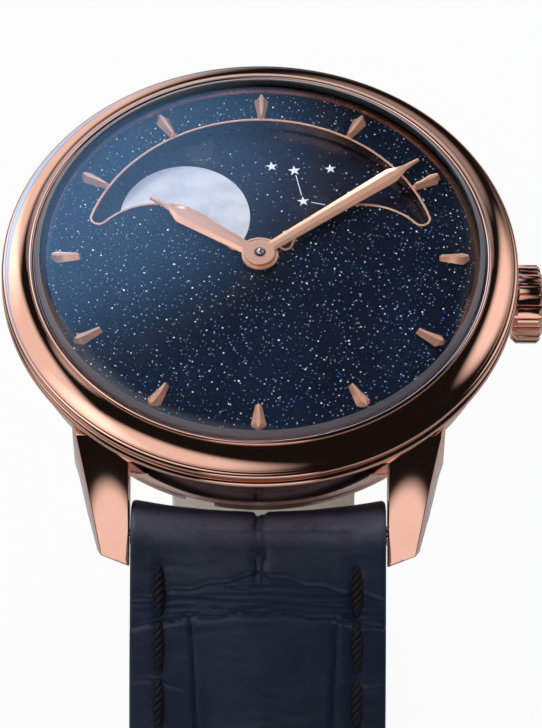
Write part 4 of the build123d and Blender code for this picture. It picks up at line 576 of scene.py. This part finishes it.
# Case band with its four lugs; the profiles are (radius, height) from the back to the top
round_steps = 384
band_profile = (
    [(15.8, 0.95), (16.62, 0.95)]
    + circle_through((16.72, 1.02), (17.5, 2.5), (18.3, 6.0), 26)
    + [(18.3, 6.28), (18.34, 6.32), (18.6, 6.44)]
    + circle_through((18.66, 6.5), (19.0, 6.875), (18.66, 7.25), 22)
    + [(18.5, 7.27), (18.5, 7.4), (15.3, 7.4), (15.3, 1.9), (15.8, 1.9)]
)
bezel_profile = (
    [(16.0, 7.4), (18.5, 7.4), (18.56, 7.47)]
    + circle_through((18.6, 7.5), (18.95, 7.8), (18.6, 8.1), 20)
    + [(18.53, 8.12)]
    + circle_through((18.53, 8.17), (17.7125, 8.461), (17.02, 8.98), 26)
    + [(16.98, 9.02)]
    + circle_through((16.95, 9.05), (16.75, 9.3), (16.55, 9.05), 18)
    + [(16.5, 9.05), (16.5, 8.75), (16.0, 8.75)]
)

# Lug outline as (y, z), and the planes that slant its outer side and its tip
lug_inner = 9.3
lug_outer = 13.4
lug_root_y = -13.0
lug_edge_round = 0.1
lug_side = [(lug_root_y, 0.95), (-14.2, 0.95), (-16.4, -0.7), (-20.3, -1.9), (-20.6, -1.1)]
lug_top = circle_through((-20.6, -1.1), (-17.75, 2.7), (-14.2, 6.3), 22)[1:]
lug_cuts = (
    ((lug_outer, lug_root_y, 0), (6.7, -1.95, 0)),
    ((lug_inner, -20.6, -1.1), (0.88, -1.7, -1.32)),
)


def lug_shell():
    """One lug as a solid between its inner face and its slanted outer face, edges rounded."""
    outline = lug_side + lug_top + [(lug_root_y, 6.3)]
    shell = bmesh.new()
    near = [shell.verts.new((lug_inner, y, z)) for y, z in outline]
    far = [shell.verts.new((lug_outer, y, z)) for y, z in outline]
    count = len(outline)
    shell.faces.new(near)
    shell.faces.new(list(reversed(far)))
    for k in range(count):
        shell.faces.new([near[k], far[k], far[(k + 1) % count], near[(k + 1) % count]])
    bmesh.ops.recalc_face_normals(shell, faces=shell.faces)
    for place, normal in lug_cuts:
        cut = bmesh.ops.bisect_plane(
            shell, geom=shell.verts[:] + shell.edges[:] + shell.faces[:], dist=1e-5,
            plane_co=place, plane_no=normal, clear_outer=True,
        )
        rim = [g for g in cut["geom_cut"] if isinstance(g, bmesh.types.BMEdge)]
        bmesh.ops.holes_fill(shell, edges=rim)
    bmesh.ops.recalc_face_normals(shell, faces=shell.faces)
    hard = [
        e for e in shell.edges
        if len(e.link_faces) == 2 and e.calc_face_angle(0) > 0.5
        and e.verts[0].co.y < lug_root_y - 0.3
    ]
    bmesh.ops.bevel(
        shell, geom=hard, offset=lug_edge_round, segments=3, profile=0.5, affect="EDGES",
        clamp_overlap=True,
    )
    return shell


points, faces = lathe(band_profile, round_steps)
single = lug_shell()
single.verts.ensure_lookup_table()
for flip_x, flip_y in ((1, 1), (-1, 1), (1, -1), (-1, -1)):
    first = len(points)
    points.extend((v.co.x * flip_x, v.co.y * flip_y, v.co.z) for v in single.verts)
    for face in single.faces:
        ring = [first + v.index for v in face.verts]
        faces.append(ring if flip_x * flip_y > 0 else ring[::-1])
single.free()
case_band = store("case_band", points, faces, banded, 34.0)
settle(case_band, "case", "rose_gold", "case_middle")

points, faces = lathe(bezel_profile, round_steps)
settle(
    store("bezel_ring", points, faces, finishes["rose_gold"], 34.0), "case", "rose_gold", "bezel"
)


def cap(radius, edge, top, count):
    """A shallow dome from its rim to its middle."""
    ball = (radius**2 + (top - edge) ** 2) / (2 * (top - edge))
    return [
        (r, top - ball + sqrt(ball**2 - r**2)) for r in np.linspace(radius, 0, count)
    ]


# Domed crystal, with its ground bevel as a second finish
ground_from, ground_to, ground_low = 16.1, 16.46, 9.1
crystal_profile = (
    [(15.8, 8.75), (16.2, 8.75), (16.2, 9.07), (16.42, 9.07), (16.45, 9.1), (16.45, 9.43)]
    + [(16.43, 9.47), (16.08, 9.735)]
    + cap(16.04, 9.75, 10.4, 16)
    + cap(15.6, 9.3, 9.8, 14)[::-1]
)
points, faces = lathe(crystal_profile, 288)
crystal_dome = store("crystal_dome", points, faces, finishes["sapphire"], 25.0)
crystal_dome.data.materials.append(ground_edge().owner)
for face in crystal_dome.data.polygons:
    x, y, z = face.center / MM
    if ground_from < hypot(x, y) < ground_to and z > ground_low:
        face.material_index = 1
settle(crystal_dome, "case", "sapphire", "crystal")

# Rigid nodes whose CAD shape is right: welded copies with their finish, each with the
# radius that softens its edges and, where facets are to stay crisp, the angle of a hard edge
crisp = {"hour_markers": 9.0, "hour_hand": 9.0, "minute_hand": 9.0, "crown": 20.0}
softened = {
    "crown": 0.035, "window_frame": 0.06, "hour_markers": 0.014, "hour_hand": 0.012,
    "minute_hand": 0.012, "case_back": 0.06, "buckle": 0.28, "tongue": 0.16,
    "buckle_bar": 0.08, "barrel_bridge": 0.07, "train_bridge": 0.07, "balance_cock": 0.07,
    "pallet_bridge": 0.02, "bridge_screws": 0.02, "jewels": 0.02, "rotor": 0.06,
    "rotor_bearing": 0.05, "rotor_screw": 0.03, "ratchet_wheel": 0.02, "crown_wheel": 0.02,
    "barrel": 0.05, "moons": 0.02, "dial": 0.02, "spring_bars": 0.05, "main_plate": 0.04,
}
own_pieces = {
    "case_middle", "bezel", "crystal", "strap_long_top", "strap_long_lining",
    "strap_short_top", "strap_short_lining", "fixed_keeper", "loose_keeper",
}
body_of = {n: b for b, group in frame["record"]["behaviour"]["bodies"].items() for n in group}
special = {
    "main_plate": pearled, "dial_side_plate": pearled, "window_frame": finishes["rose_gold"],
    "case_back": banded,
}
slot_of = {
    node: entry["slot"]
    for entry in frame["record"]["materials"] for node in entry.get("nodes", [])
}


def slot_for(node):
    """The record's slot of a node, read from its CAD material when the record lists none."""
    if node in slot_of:
        return slot_of[node]
    return frame["nodes"][node].data.materials[0].name.split(".")[0]


# The window's rim is satin where it faces up, and polished down its wall
facing_up = 0.4
for node in sorted(set(frame["nodes"]) - own_pieces):
    slot = slot_for(node)
    finish = special.get(node, finishes[slot])
    piece = dress(node, finish, softened.get(node, 0.0), sharp=crisp.get(node, 38.0))
    if node == "window_frame":
        piece.data.materials.append(finishes["marker_gold"].owner)
        for face in piece.data.polygons:
            face.material_index = int(face.normal.z > facing_up)
    settle(piece, body_of[node], slot, node)

# Polished pin at the centre, with a flat black ring round it as painted shade for the hole it
# stands in
pin_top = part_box("cannon_pinion")[1].z / MM
pin_foot = pin_top - 0.05
pin_steps = 40
points, faces = lathe(
    [(0.3, pin_foot), (0.3, pin_top + 0.03), (0.27, pin_top + 0.07), (0.2, pin_top + 0.11),
     (0.1, pin_top + 0.13), (0, pin_top + 0.135), (0, pin_foot)], pin_steps,
)
settle(
    store("centre_pin", points, faces, finishes["steel"], 50.0), body_of["cannon_pinion"],
    "steel",
)
# Painted shade: a flat black ring that stands for the dark hole round the pin
points, faces = lathe(
    [(0.31, pin_foot), (0.31, pin_top + 0.012), (0.4, pin_top + 0.012), (0.4, pin_foot)],
    pin_steps,
)
settle(
    store("centre_hole", points, faces, finishes["black_rubber"], 50.0),
    body_of["cannon_pinion"], "steel",
)

# Stars as (x, y, reach) and the thin lines between them, on the moon disc
disc_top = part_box("moon_disc")[1].z / MM
star_thickness, line_thickness, line_half_width = 0.02, 0.015, 0.028
star_notch, star_turn = 0.38, 0.12
star_places = [
    (0.8, 9.4, 0.46), (2.5, 9.02, 0.48), (5.2, 9.2, 0.44), (3.17, 6.1, 0.47),
    (-1.2, -9.6, 0.46), (-3.4, -8.6, 0.48), (-5.6, -9.4, 0.44), (-2.9, -6.6, 0.46),
    (9.4, 3.1, 0.36), (-9.4, -3.1, 0.36),
]
star_lines = [
    (2.62, 8.58, 3.05, 6.66), (3.75, 6.02, 4.8, 5.78), (-3.5, -8.2, -3.0, -7.1),
    (-1.7, -9.4, -2.9, -8.8),
]
points, faces = [], []


def lay_on_disc(outline, thickness):
    """Adds a flat form with the given outline to the points and faces."""
    first, count = len(points), len(outline)
    for height in (disc_top, disc_top + thickness):
        points.extend((x, y, height) for x, y in outline)
    low = list(range(first, first + count))
    high = list(range(first + count, first + 2 * count))
    faces.extend([low[::-1], high] + band(low, high))


for x, y, size in star_places:
    outline = []
    for k in range(10):
        reach = size if k % 2 == 0 else size * star_notch
        angle = pi / 2 + k * pi / 5 + star_turn
        outline.append((x + reach * cos(angle), y + reach * sin(angle)))
    lay_on_disc(outline, star_thickness)
for x0, y0, x1, y1 in star_lines:
    run = hypot(x1 - x0, y1 - y0)
    ox, oy = -(y1 - y0) / run * line_half_width, (x1 - x0) / run * line_half_width
    lay_on_disc(
        [(x0 + ox, y0 + oy), (x1 + ox, y1 + oy), (x1 - ox, y1 - oy), (x0 - ox, y0 - oy)],
        line_thickness,
    )
settle(store("disc_stars", points, faces, star_white, 30.0), "moon_disc", "moon_disc")


# Strap

class StrapLine:
    """The strap's seam between top and lining, in its side plane, by length from the bar."""

    def __init__(self, start, heading, turn, runs):
        """Runs are (radius, degrees) of an arc, or (0, length) of a straight."""
        self.turn = turn
        self.parts = []
        y, z = start
        reach = 0.0
        for radius, amount in runs:
            self.parts.append((reach, radius, (y, z), heading))
            if radius:
                side = heading + turn * pi / 2
                cy, cz = y + radius * cos(side), z + radius * sin(side)
                heading += turn * radians(amount)
                y = cy - radius * cos(heading + turn * pi / 2)
                z = cz - radius * sin(heading + turn * pi / 2)
                reach += radius * radians(amount)
            else:
                y, z = y + amount * cos(heading), z + amount * sin(heading)
                reach += amount

    def at(self, s):
        """Place, outward direction and heading at a length s; s under 0 runs straight back."""
        part = self.parts[0]
        for candidate in self.parts:
            if s >= candidate[0] - 1e-9:
                part = candidate
        first, radius, (y, z), heading = part
        step = s - first
        if radius and s > 0:
            side = heading + self.turn * pi / 2
            cy, cz = y + radius * cos(side), z + radius * sin(side)
            heading += self.turn * step / radius
            y = cy - radius * cos(heading + self.turn * pi / 2)
            z = cz - radius * sin(heading + self.turn * pi / 2)
        else:
            y, z = y + step * cos(heading), z + step * sin(heading)
        out = heading - self.turn * pi / 2
        return (y, z), (cos(out), sin(out)), (cos(heading), sin(heading))


def to_the_end(runs, length):
    """The runs of a strap half, with a straight one for what is left of its length."""
    used = sum(radians(amount) * radius if radius else amount for radius, amount in runs)
    return runs + [(0, length - used)]


bar_y, bar_z = 18.48, -0.2
long_length, short_length = 108.3, 73.3
long_line = StrapLine(
    (-bar_y, bar_z), radians(202), 1,
    to_the_end([(40, 26), (56, 42), (13.12, 90)], long_length),
)
short_line = StrapLine(
    (bar_y, bar_z), radians(-62), -1,
    to_the_end([(50, 28), (0, 21), (13.09, 90)], short_length),
)
strap_width, strap_taper, taper_start = 18.3, 2.3, 20
strap_edge = 0.32
loop_radius = 0.8
tip_reach, tip_half_width = 9, 8.4


def half_width(s, length):
    """Half the strap's width, which narrows from a little past the case to the end."""
    taper = strap_taper * max(0.0, s - taper_start) / (length - taper_start)
    return (strap_width - taper) / 2


def roll(s):
    """1 over the spring bar, fading out over the first millimetres."""
    return max(0.0, 1 - max(s, 0.0) / 7) ** 2


def top_thickness(s, share):
    """Thickness of the top leather at a share of the half width from the middle."""
    slim = min(1.0, max(s, 0.0) / 60)
    edge = 1.15 + 0.95 * cos(pi / 2 * slim) ** 2 + 0.44 * roll(s)
    crown = 0.95 * sin(pi * slim**0.45) - 0.81 * roll(s)
    return edge + crown * (1 - share**2)


def lining_thickness(s, share):
    """Thickness of the lining at a share of the half width from the middle."""
    return 1.2 + 1.34 * roll(s) - 0.81 * roll(s) * (1 - share**2)


def dent(distance, width):
    """A soft groove: 1 at its middle, fading within about its width."""
    return np.exp(-((distance / width) ** 2))


def ease(value):
    """A smooth step from 0 to 1 about 0."""
    return 1 / (1 + np.exp(-np.maximum(value, -80.0)))


# Random draws: the waves of the fine creases, then where each row of scales ends
wave_set = [
    (rng.uniform(0.9, 2.6), rng.uniform(-0.35, 0.35), rng.uniform(0, 2 * pi)) for _ in range(9)
]
row_start, row_pitch = 6.0, 8.6
row_ends = [row_start + row_pitch * k + rng.uniform(-0.5, 0.5) for k in range(1, 14)]


def wrinkles(s, x):
    """Fine creases that run across the strap, roughly -1 to 1."""
    total = 0.0
    for along, across, phase in wave_set:
        total = total + np.sin(2 * pi * (s * along + x * across * 0.6 + np.sin(x * 0.9) * 0.12)
                               + phase)
    return total / 3.2


def scale_relief(s, x):
    """How far the skin sinks, in mm, at a length s and a place x across (arrays).

    A creased valley crosses the strap past the first bulge. Before it a double groove runs
    down the middle, and after it come rows of plates with a narrower plate at each side.
    """
    bend = 0.07 * np.abs(x) - 0.004 * x * x + 0.15 * np.sin(x * 1.7 + 0.6)
    upper = 3.05 + 0.42 * np.abs(x - 0.15) ** 0.85 * 0.62 + 0.1 * np.sin(x * 2.3)
    lower = 5.75 + 0.012 * x * x + 0.07 * np.sin(x * 1.9 + 1.0)
    valley = ease((s - upper) / 0.16) * ease((lower - s) / 0.13)
    inside = ease((7.6 - np.abs(x)) / 0.5)
    sunk = valley * (0.2 + 0.05 * wrinkles(s, x)) * (0.55 + 0.45 * inside)
    sunk = sunk + 0.13 * dent(s - upper, 0.17) + 0.2 * dent(s - lower, 0.16)
    before = ease((3.2 - s) / 0.25)
    middle = 0.1 + 0.06 * np.sin(s * 1.3)
    sunk = sunk + before * (
        0.24 * dent(x - middle + 0.22, 0.15) + 0.17 * dent(x - middle - 0.3, 0.15)
        + 0.06 * dent(x - middle, 0.6)
    )
    after = ease((s - lower) / 0.2)
    for row, (start, end) in enumerate(zip([row_start] + row_ends, row_ends)):
        inside_row = ease((s - start) / 0.12) * ease((end - s) / 0.12)
        left = -4.75 + 0.3 * sin(row * 2.1) + 0.06 * (s - start)
        right = 5.35 + 0.35 * sin(row * 1.3 + 1.0) - 0.05 * (s - start)
        if row == 0:
            inside_row = after * ease((end - s) / 0.12)
        sunk = sunk + inside_row * (
            0.2 * dent(x - left, 0.2) + 0.2 * dent(x - right, 0.2)
        )
        if row % 3 == 1:
            centre = 0.5 * sin(row)
            sunk = sunk + inside_row * 0.15 * dent(x - centre, 0.17)
        line = end + bend + 0.1 * np.sin(x * 2.6 + row)
        sunk = sunk + 0.19 * dent(s - line, 0.24) + 0.07 * dent(s - line - 0.55, 0.3)
        half = (start + end) / 2 + 0.3 * np.sin(x + row)
        sides = ease((np.abs(x - 0.3) - 5.5) / 0.25)
        sunk = sunk + sides * 0.1 * dent(s - half, 0.2)
    channel = ease((s - 2.2) / 0.15)
    sunk = sunk + channel * 0.16 * dent(np.abs(x) - 6.95, 0.5)
    sunk = sunk + 0.012 * wrinkles(s * 0.6, x * 2.0)
    return sunk


def strap_mesh(name, line, length, finish, lining=False, tip=False):
    """The top or the lining of one strap half as a closed shell on its curved line."""
    edge = strap_edge
    close_end, close_step, far_step = 15.0, 0.13, 0.33
    stations = list(np.arange(0.0, close_end, close_step))
    stations += list(np.arange(close_end, length, far_step)) + [length]
    if tip:
        last = [length - tip_reach * (1 - sin(t)) for t in np.linspace(0, pi / 2 - 0.02, 26)]
        stations = [s for s in stations if s < length - tip_reach] + last
    stations = sorted(set(round(s, 5) for s in stations))
    wraps = [] if lining else np.linspace(pi, 0, 40)[:-1]
    across = 40 if lining else 112
    inner_count = 12
    points, sunk_values, rings = [], [], []

    def add_ring(place, out, half, outer_heights, under, sunk):
        """One cross-section: outer skin with rounded edges, then the underside."""
        ring = []

        def put(x, height, depth):
            points.append((x, place[0] + out[0] * height, place[1] + out[1] * height))
            sunk_values.append(depth)
            ring.append(len(points) - 1)

        flat = half - edge
        xs = np.linspace(-flat, flat, across + 1)
        left, right = outer_heights[0], outer_heights[-1]
        for x, h, d in zip(xs, outer_heights, sunk):
            put(x, h, d)
        for t in (0.35, 0.7, 1.05, pi / 2):
            put(flat + edge * sin(t), right - edge * (1 - cos(t)), 0.0)
        put(half, (right - edge + under) / 2, 0.0)
        put(half - 0.05, under, 0.0)
        for x in np.linspace(flat, -flat, inner_count):
            put(x, under, 0.0)
        put(-half + 0.05, under, 0.0)
        put(-half, (left - edge + under) / 2, 0.0)
        for t in (pi / 2, 1.05, 0.7, 0.35):
            put(-flat - edge * sin(t), left - edge * (1 - cos(t)), 0.0)
        rings.append(ring)

    shares = np.linspace(-1, 1, across + 1)
    root, root_out, root_along = line.at(0.0)
    for a in wraps:
        half = half_width(0, length)
        out = (
            root_out[0] * cos(a) - root_along[0] * sin(a),
            root_out[1] * cos(a) - root_along[1] * sin(a),
        )
        radius = np.array([top_thickness(0, q) for q in shares])
        xs = shares * (half - edge)
        sunk = scale_relief(np.full(across + 1, -a * 2.0), xs)
        notch = 0.16 * dent(xs - 0.1, 0.22)
        fade = 1.0 if a < 2.4 else max(0.0, (pi - a) / (pi - 2.4))
        add_ring(
            root, out, half, radius - (sunk + notch) * fade, loop_radius,
            np.clip(sunk * 4, 0, 1),
        )
    for s in stations:
        half = half_width(s, length)
        if tip and s > length - tip_reach:
            share = (s - length + tip_reach) / tip_reach
            half = min(half, tip_half_width * sqrt(max(0.0, 1 - share**2)) + 0.06)
        half = max(half, edge + 0.1)
        place, out = line.at(s)[:2]
        hollow = sqrt(loop_radius**2 - s * s) if s < loop_radius else 0.0
        if lining:
            heights = np.array([lining_thickness(s, q) for q in shares])
            add_ring(
                place, (-out[0], -out[1]), half - 0.04, heights, hollow, np.zeros(across + 1)
            )
        else:
            heights = np.array([top_thickness(s, q) for q in shares])
            xs = shares * (half - edge)
            sunk = scale_relief(np.full(across + 1, s), xs)
            room = np.clip(1.6 - np.abs(shares) * 0.6, 0.5, 1.0)
            add_ring(
                place, out, half, heights - sunk * room, hollow + 0.002,
                np.clip(sunk * 4, 0, 1),
            )
    faces = []
    for here, there in zip(rings, rings[1:]):
        faces.extend(band(here, there))
    faces.append(rings[0][::-1])
    faces.append(rings[-1])
    piece = store(name, points, faces, finish, 50.0)
    depth = piece.data.attributes.new("sunk", "FLOAT", "POINT")
    depth.data.foreach_set("value", np.array(sunk_values, dtype=np.float32))
    return piece


def stitch_mesh():
    """One stitch of three twisted strands, with its ends going down into the leather."""
    length, strands, turns, strand_radius, steps, sides = 3.9, 3, 2.4, 0.25, 24, 7
    points, faces = [], []
    for strand in range(strands):
        rings = []
        for step in range(steps + 1):
            share = step / steps
            phase = 2 * pi * (strand / strands + turns * share)
            swell = sin(pi * share) ** 0.35 if 0 < share < 1 else 0.02
            lay = 0.2 * swell
            thick = strand_radius * (0.35 + 0.65 * swell)
            centre = (
                (share - 0.5) * length, lay * cos(phase),
                0.1 + lay * sin(phase) - 0.5 * (1 - swell),
            )
            ring = []
            for k in range(sides):
                angle = 2 * pi * k / sides
                points.append((
                    centre[0], centre[1] + thick * cos(angle), centre[2] + thick * sin(angle)
                ))
                ring.append(len(points) - 1)
            rings.append(ring)
        for here, there in zip(rings, rings[1:]):
            faces.extend(band(here, there))
        faces.append(rings[0][::-1])
        faces.append(rings[-1])
    return store("stitch_pattern", points, faces, stitch_thread, 180.0)


def stitch_tree(pattern):
    """Geometry nodes: stitches at an even pitch along a seam, turned by its normal."""
    tree = bpy.data.node_groups.new("seam_stitches", "GeometryNodeTree")
    tree.interface.new_socket("Geometry", in_out="INPUT", socket_type="NodeSocketGeometry")
    pitch = tree.interface.new_socket("Pitch", in_out="INPUT", socket_type="NodeSocketFloat")
    tree.interface.new_socket("Geometry", in_out="OUTPUT", socket_type="NodeSocketGeometry")

    def add(kind, **settings):
        node = tree.nodes.new(kind)
        for key, value in settings.items():
            setattr(node, key, value)
        return node

    given = add("NodeGroupInput")
    result = add("NodeGroupOutput")
    curve = add("GeometryNodeMeshToCurve")
    resample = add("GeometryNodeResampleCurve", mode="LENGTH")
    place = add("GeometryNodeInstanceOnPoints")
    info = add("GeometryNodeObjectInfo")
    info.inputs["Object"].default_value = pattern
    tangent = add("GeometryNodeInputTangent")
    normal = add("GeometryNodeInputNamedAttribute", data_type="FLOAT_VECTOR")
    normal.inputs["Name"].default_value = "outward"
    lengthwise = add("FunctionNodeAlignEulerToVector", axis="X")
    upright = add("FunctionNodeAlignEulerToVector", axis="Z", pivot_axis="X")
    realize = add("GeometryNodeRealizeInstances")
    finish = add("GeometryNodeSetMaterial")
    finish.inputs["Material"].default_value = stitch_thread.owner
    for source, output, target, socket in (
        (given, "Geometry", curve, "Mesh"), (curve, "Curve", resample, "Curve"),
        (given, "Pitch", resample, "Length"), (resample, "Curve", place, "Points"),
        (info, "Geometry", place, "Instance"), (tangent, 0, lengthwise, "Vector"),
        (lengthwise, 0, upright, "Rotation"), (normal, 0, upright, "Vector"),
        (upright, 0, place, "Rotation"), (place, 0, realize, 0),
        (realize, 0, finish, "Geometry"), (finish, 0, result, 0),
    ):
        tree.links.new(source.outputs[output], target.inputs[socket])
    return tree, pitch.identifier


stitch_pattern = stitch_mesh()
stitches, pitch_key = stitch_tree(stitch_pattern)
seam_start, seam_inset, seam_depth, seam_step, stitch_pitch = 4.2, 2.1, 0.2, 0.5, 4.0


def seam(name, line, length, last, body):
    """Both edge seams of a strap half up to a length, as stitches on the leather."""
    mesh = bpy.data.meshes.new(name)
    points, edges, outward = [], [], []
    for side in (-1, 1):
        for step, s in enumerate(np.arange(seam_start, last, seam_step)):
            (y, z), out = line.at(s)[:2]
            half = half_width(s, length)
            x = half - seam_inset
            height = top_thickness(s, x / (half - strap_edge)) - seam_depth
            points.append((side * x * MM, (y + out[0] * height) * MM, (z + out[1] * height) * MM))
            outward.append((0.0, out[0], out[1]))
            if step:
                edges.append((len(points) - 2, len(points) - 1))
    mesh.from_pydata(points, edges, [])
    store_out = mesh.attributes.new("outward", "FLOAT_VECTOR", "POINT")
    store_out.data.foreach_set("vector", np.array(outward, dtype=np.float32).ravel())
    piece = present(name, mesh)
    maker = piece.modifiers.new("stitches", "NODES")
    maker.node_group = stitches
    maker[pitch_key] = stitch_pitch * MM
    settle(flatten(piece), body, "strap_leather")


hide, lining_hide = finishes["strap_leather"], finishes["lining_leather"]
settle(
    strap_mesh("strap_6_top", long_line, long_length, hide, tip=True),
    "strap_6", "strap_leather", "strap_long_top",
)
settle(
    strap_mesh("strap_6_lining", long_line, long_length, lining_hide, lining=True, tip=True),
    "strap_6", "lining_leather", "strap_long_lining",
)
settle(
    strap_mesh("strap_12_top", short_line, short_length, hide),
    "strap_12", "strap_leather", "strap_short_top",
)
settle(
    strap_mesh("strap_12_lining", short_line, short_length, lining_hide, lining=True),
    "strap_12", "lining_leather", "strap_short_lining",
)
seam("strap_6_stitches", long_line, long_length, long_length - 10, "strap_6")
seam("strap_12_stitches", short_line, short_length, short_length - 9, "strap_12")
for keeper, body in (("fixed_keeper", "strap_12"), ("loose_keeper", "loose_keeper")):
    settle(dress(keeper, hide, 0.3, 3), body, "strap_leather", keeper)
bpy.data.objects.remove(stitch_pattern)

# Threads and creases at the strap's foot lie pressed, just clear of the table
floor_z = -62.266 * MM
clear_of_floor = 0.01 * MM
for name in ("strap_6_top", "strap_6_stitches", "strap_12_top", "strap_12_stitches"):
    pressed = bpy.data.objects[name].data
    spots = np.empty(len(pressed.vertices) * 3, dtype=np.float32)
    pressed.vertices.foreach_get("co", spots)
    spots[2::3] = np.maximum(spots[2::3], floor_z + clear_of_floor)
    pressed.vertices.foreach_set("co", spots)
    pressed.update()

# Floor: pale to the light, near white to the eye, also through the crystal
floor_reach = 4.0
floor_corners = ((-1, -1), (1, -1), (1, 1), (-1, 1))
floor_mesh = bpy.data.meshes.new("floor")
floor_mesh.from_pydata(
    [(x * floor_reach, y * floor_reach, floor_z) for x, y in floor_corners], [],
    [[0, 1, 2, 3]],
)
ground = Finish("pale_floor", Roughness=0.9)
ground.look("Base Color", ground.mix(
    ground.noise(ground.spot(), 12.0, 2.0), (0.48, 0.48, 0.48, 1), (0.52, 0.52, 0.52, 1)
))
glow = ground.node("ShaderNodeEmission")
glow.inputs["Color"].default_value = (1, 1, 1, 1)
glow.inputs["Strength"].default_value = 1.0
sight = ground.node("ShaderNodeLightPath")
seen = ground.out(sight, "Is Camera Ray").larger(ground.out(sight, "Is Transmission Ray"))
ground.blend(seen * 0.94, glow)
floor_mesh.materials.append(ground.owner)
present("floor", floor_mesh)

# World: a dim room with broad soft boxes for the metal to mirror, white to the camera
studio = Finish("studio")
east, north, up = studio.axes(studio.out(studio.node("ShaderNodeTexCoord"), "Generated"))


def soft_box(direction, inner, outer):
    """1 inside a round window about a direction, fading to 0 between two angles."""
    x, y, z = Vector(direction).normalized()
    facing = east * x + north * y + up * z
    return facing.rise(cos(radians(outer)), cos(radians(inner)))


# White boxes by direction, the degrees between which each fades, and its power
level = 0.004 + up.rise(-0.5, 0.0) * 0.006
for direction, inner, outer, power in (
    ((-0.6, 0.36, 0.72), 18, 30, 1.02),
    ((-0.3, -0.02, 0.95), 10, 25, 0.98),
    ((-0.45, 0.78, 0.42), 13, 28, 1.0),
    ((0.7, 0.43, 0.56), 9, 24, 1.15),
    ((0.36, 0.9, 0.05), 6, 22, 0.35),
    ((0.34, 0.6, 0.72), 3, 12, 0.28),
    ((0.0, -0.98, 0.14), 17, 23, 1.02),
    ((-0.95, -0.2, 0.1), 8, 22, 0.7),
):
    level = level + soft_box(direction, inner, outer) * power

# The blue window that glows on the left of the crystal
window = soft_box((-0.21, 0.69, 0.69), 2, 16)
window_blue, window_power = (0.26, 0.55, 1.0, 1), 2.1
camera_ray = studio.out(studio.node("ShaderNodeLightPath"), "Is Camera Ray")
room = studio.node("ShaderNodeBackground")
studio.feed(room.inputs["Color"], studio.mix(
    window.rise(0.0, 0.15) * (1 - camera_ray), (1, 1, 1, 1), window_blue
))
studio.feed(
    room.inputs["Strength"],
    (level + window * window_power) * (1 - camera_ray) + camera_ray,
)
studio.join(room.outputs[0], studio.node("ShaderNodeOutputWorld").inputs["Surface"])
bpy.context.scene.world = studio.owner


def lamp(name, place, size, energy):
    """A round lamp aimed at the watch, which polished metal doesn't mirror."""
    light = bpy.data.lights.new(name, "AREA")
    light.shape = "DISK"
    light.size = size
    light.energy = energy
    holder = present(name, light)
    holder.location = place
    holder.rotation_euler = (-Vector(place)).to_track_quat("-Z", "Y").to_euler()
    holder.visible_glossy = False


lamp("key_lamp", (-0.04, 0.5, 0.23), 0.09, 2.4)
lamp("fill_lamp", (-0.2, -0.3, 0.5), 0.3, 0.5)

# Camera at the photograph's angle
camera_data = bpy.data.cameras.new("camera")
camera_data.sensor_fit = "VERTICAL"
camera_data.sensor_height = 36.0
camera_data.lens = 166.8
camera_data.clip_start = 0.01
camera_data.clip_end = 20.0
camera = present("camera", camera_data)
azimuth, elevation, distance = radians(0.31), radians(54.5), 250.0 * MM
target = Vector((0.83, -4.5, 1.5)) * MM
back = Vector((
    sin(azimuth) * cos(elevation), -cos(azimuth) * cos(elevation), sin(elevation)
))
camera.location = target + back * distance
camera.rotation_euler = back.to_track_quat("Z", "Y").to_euler()
bpy.context.scene.camera = camera
bpy.context.scene.view_settings.view_transform = "Standard"
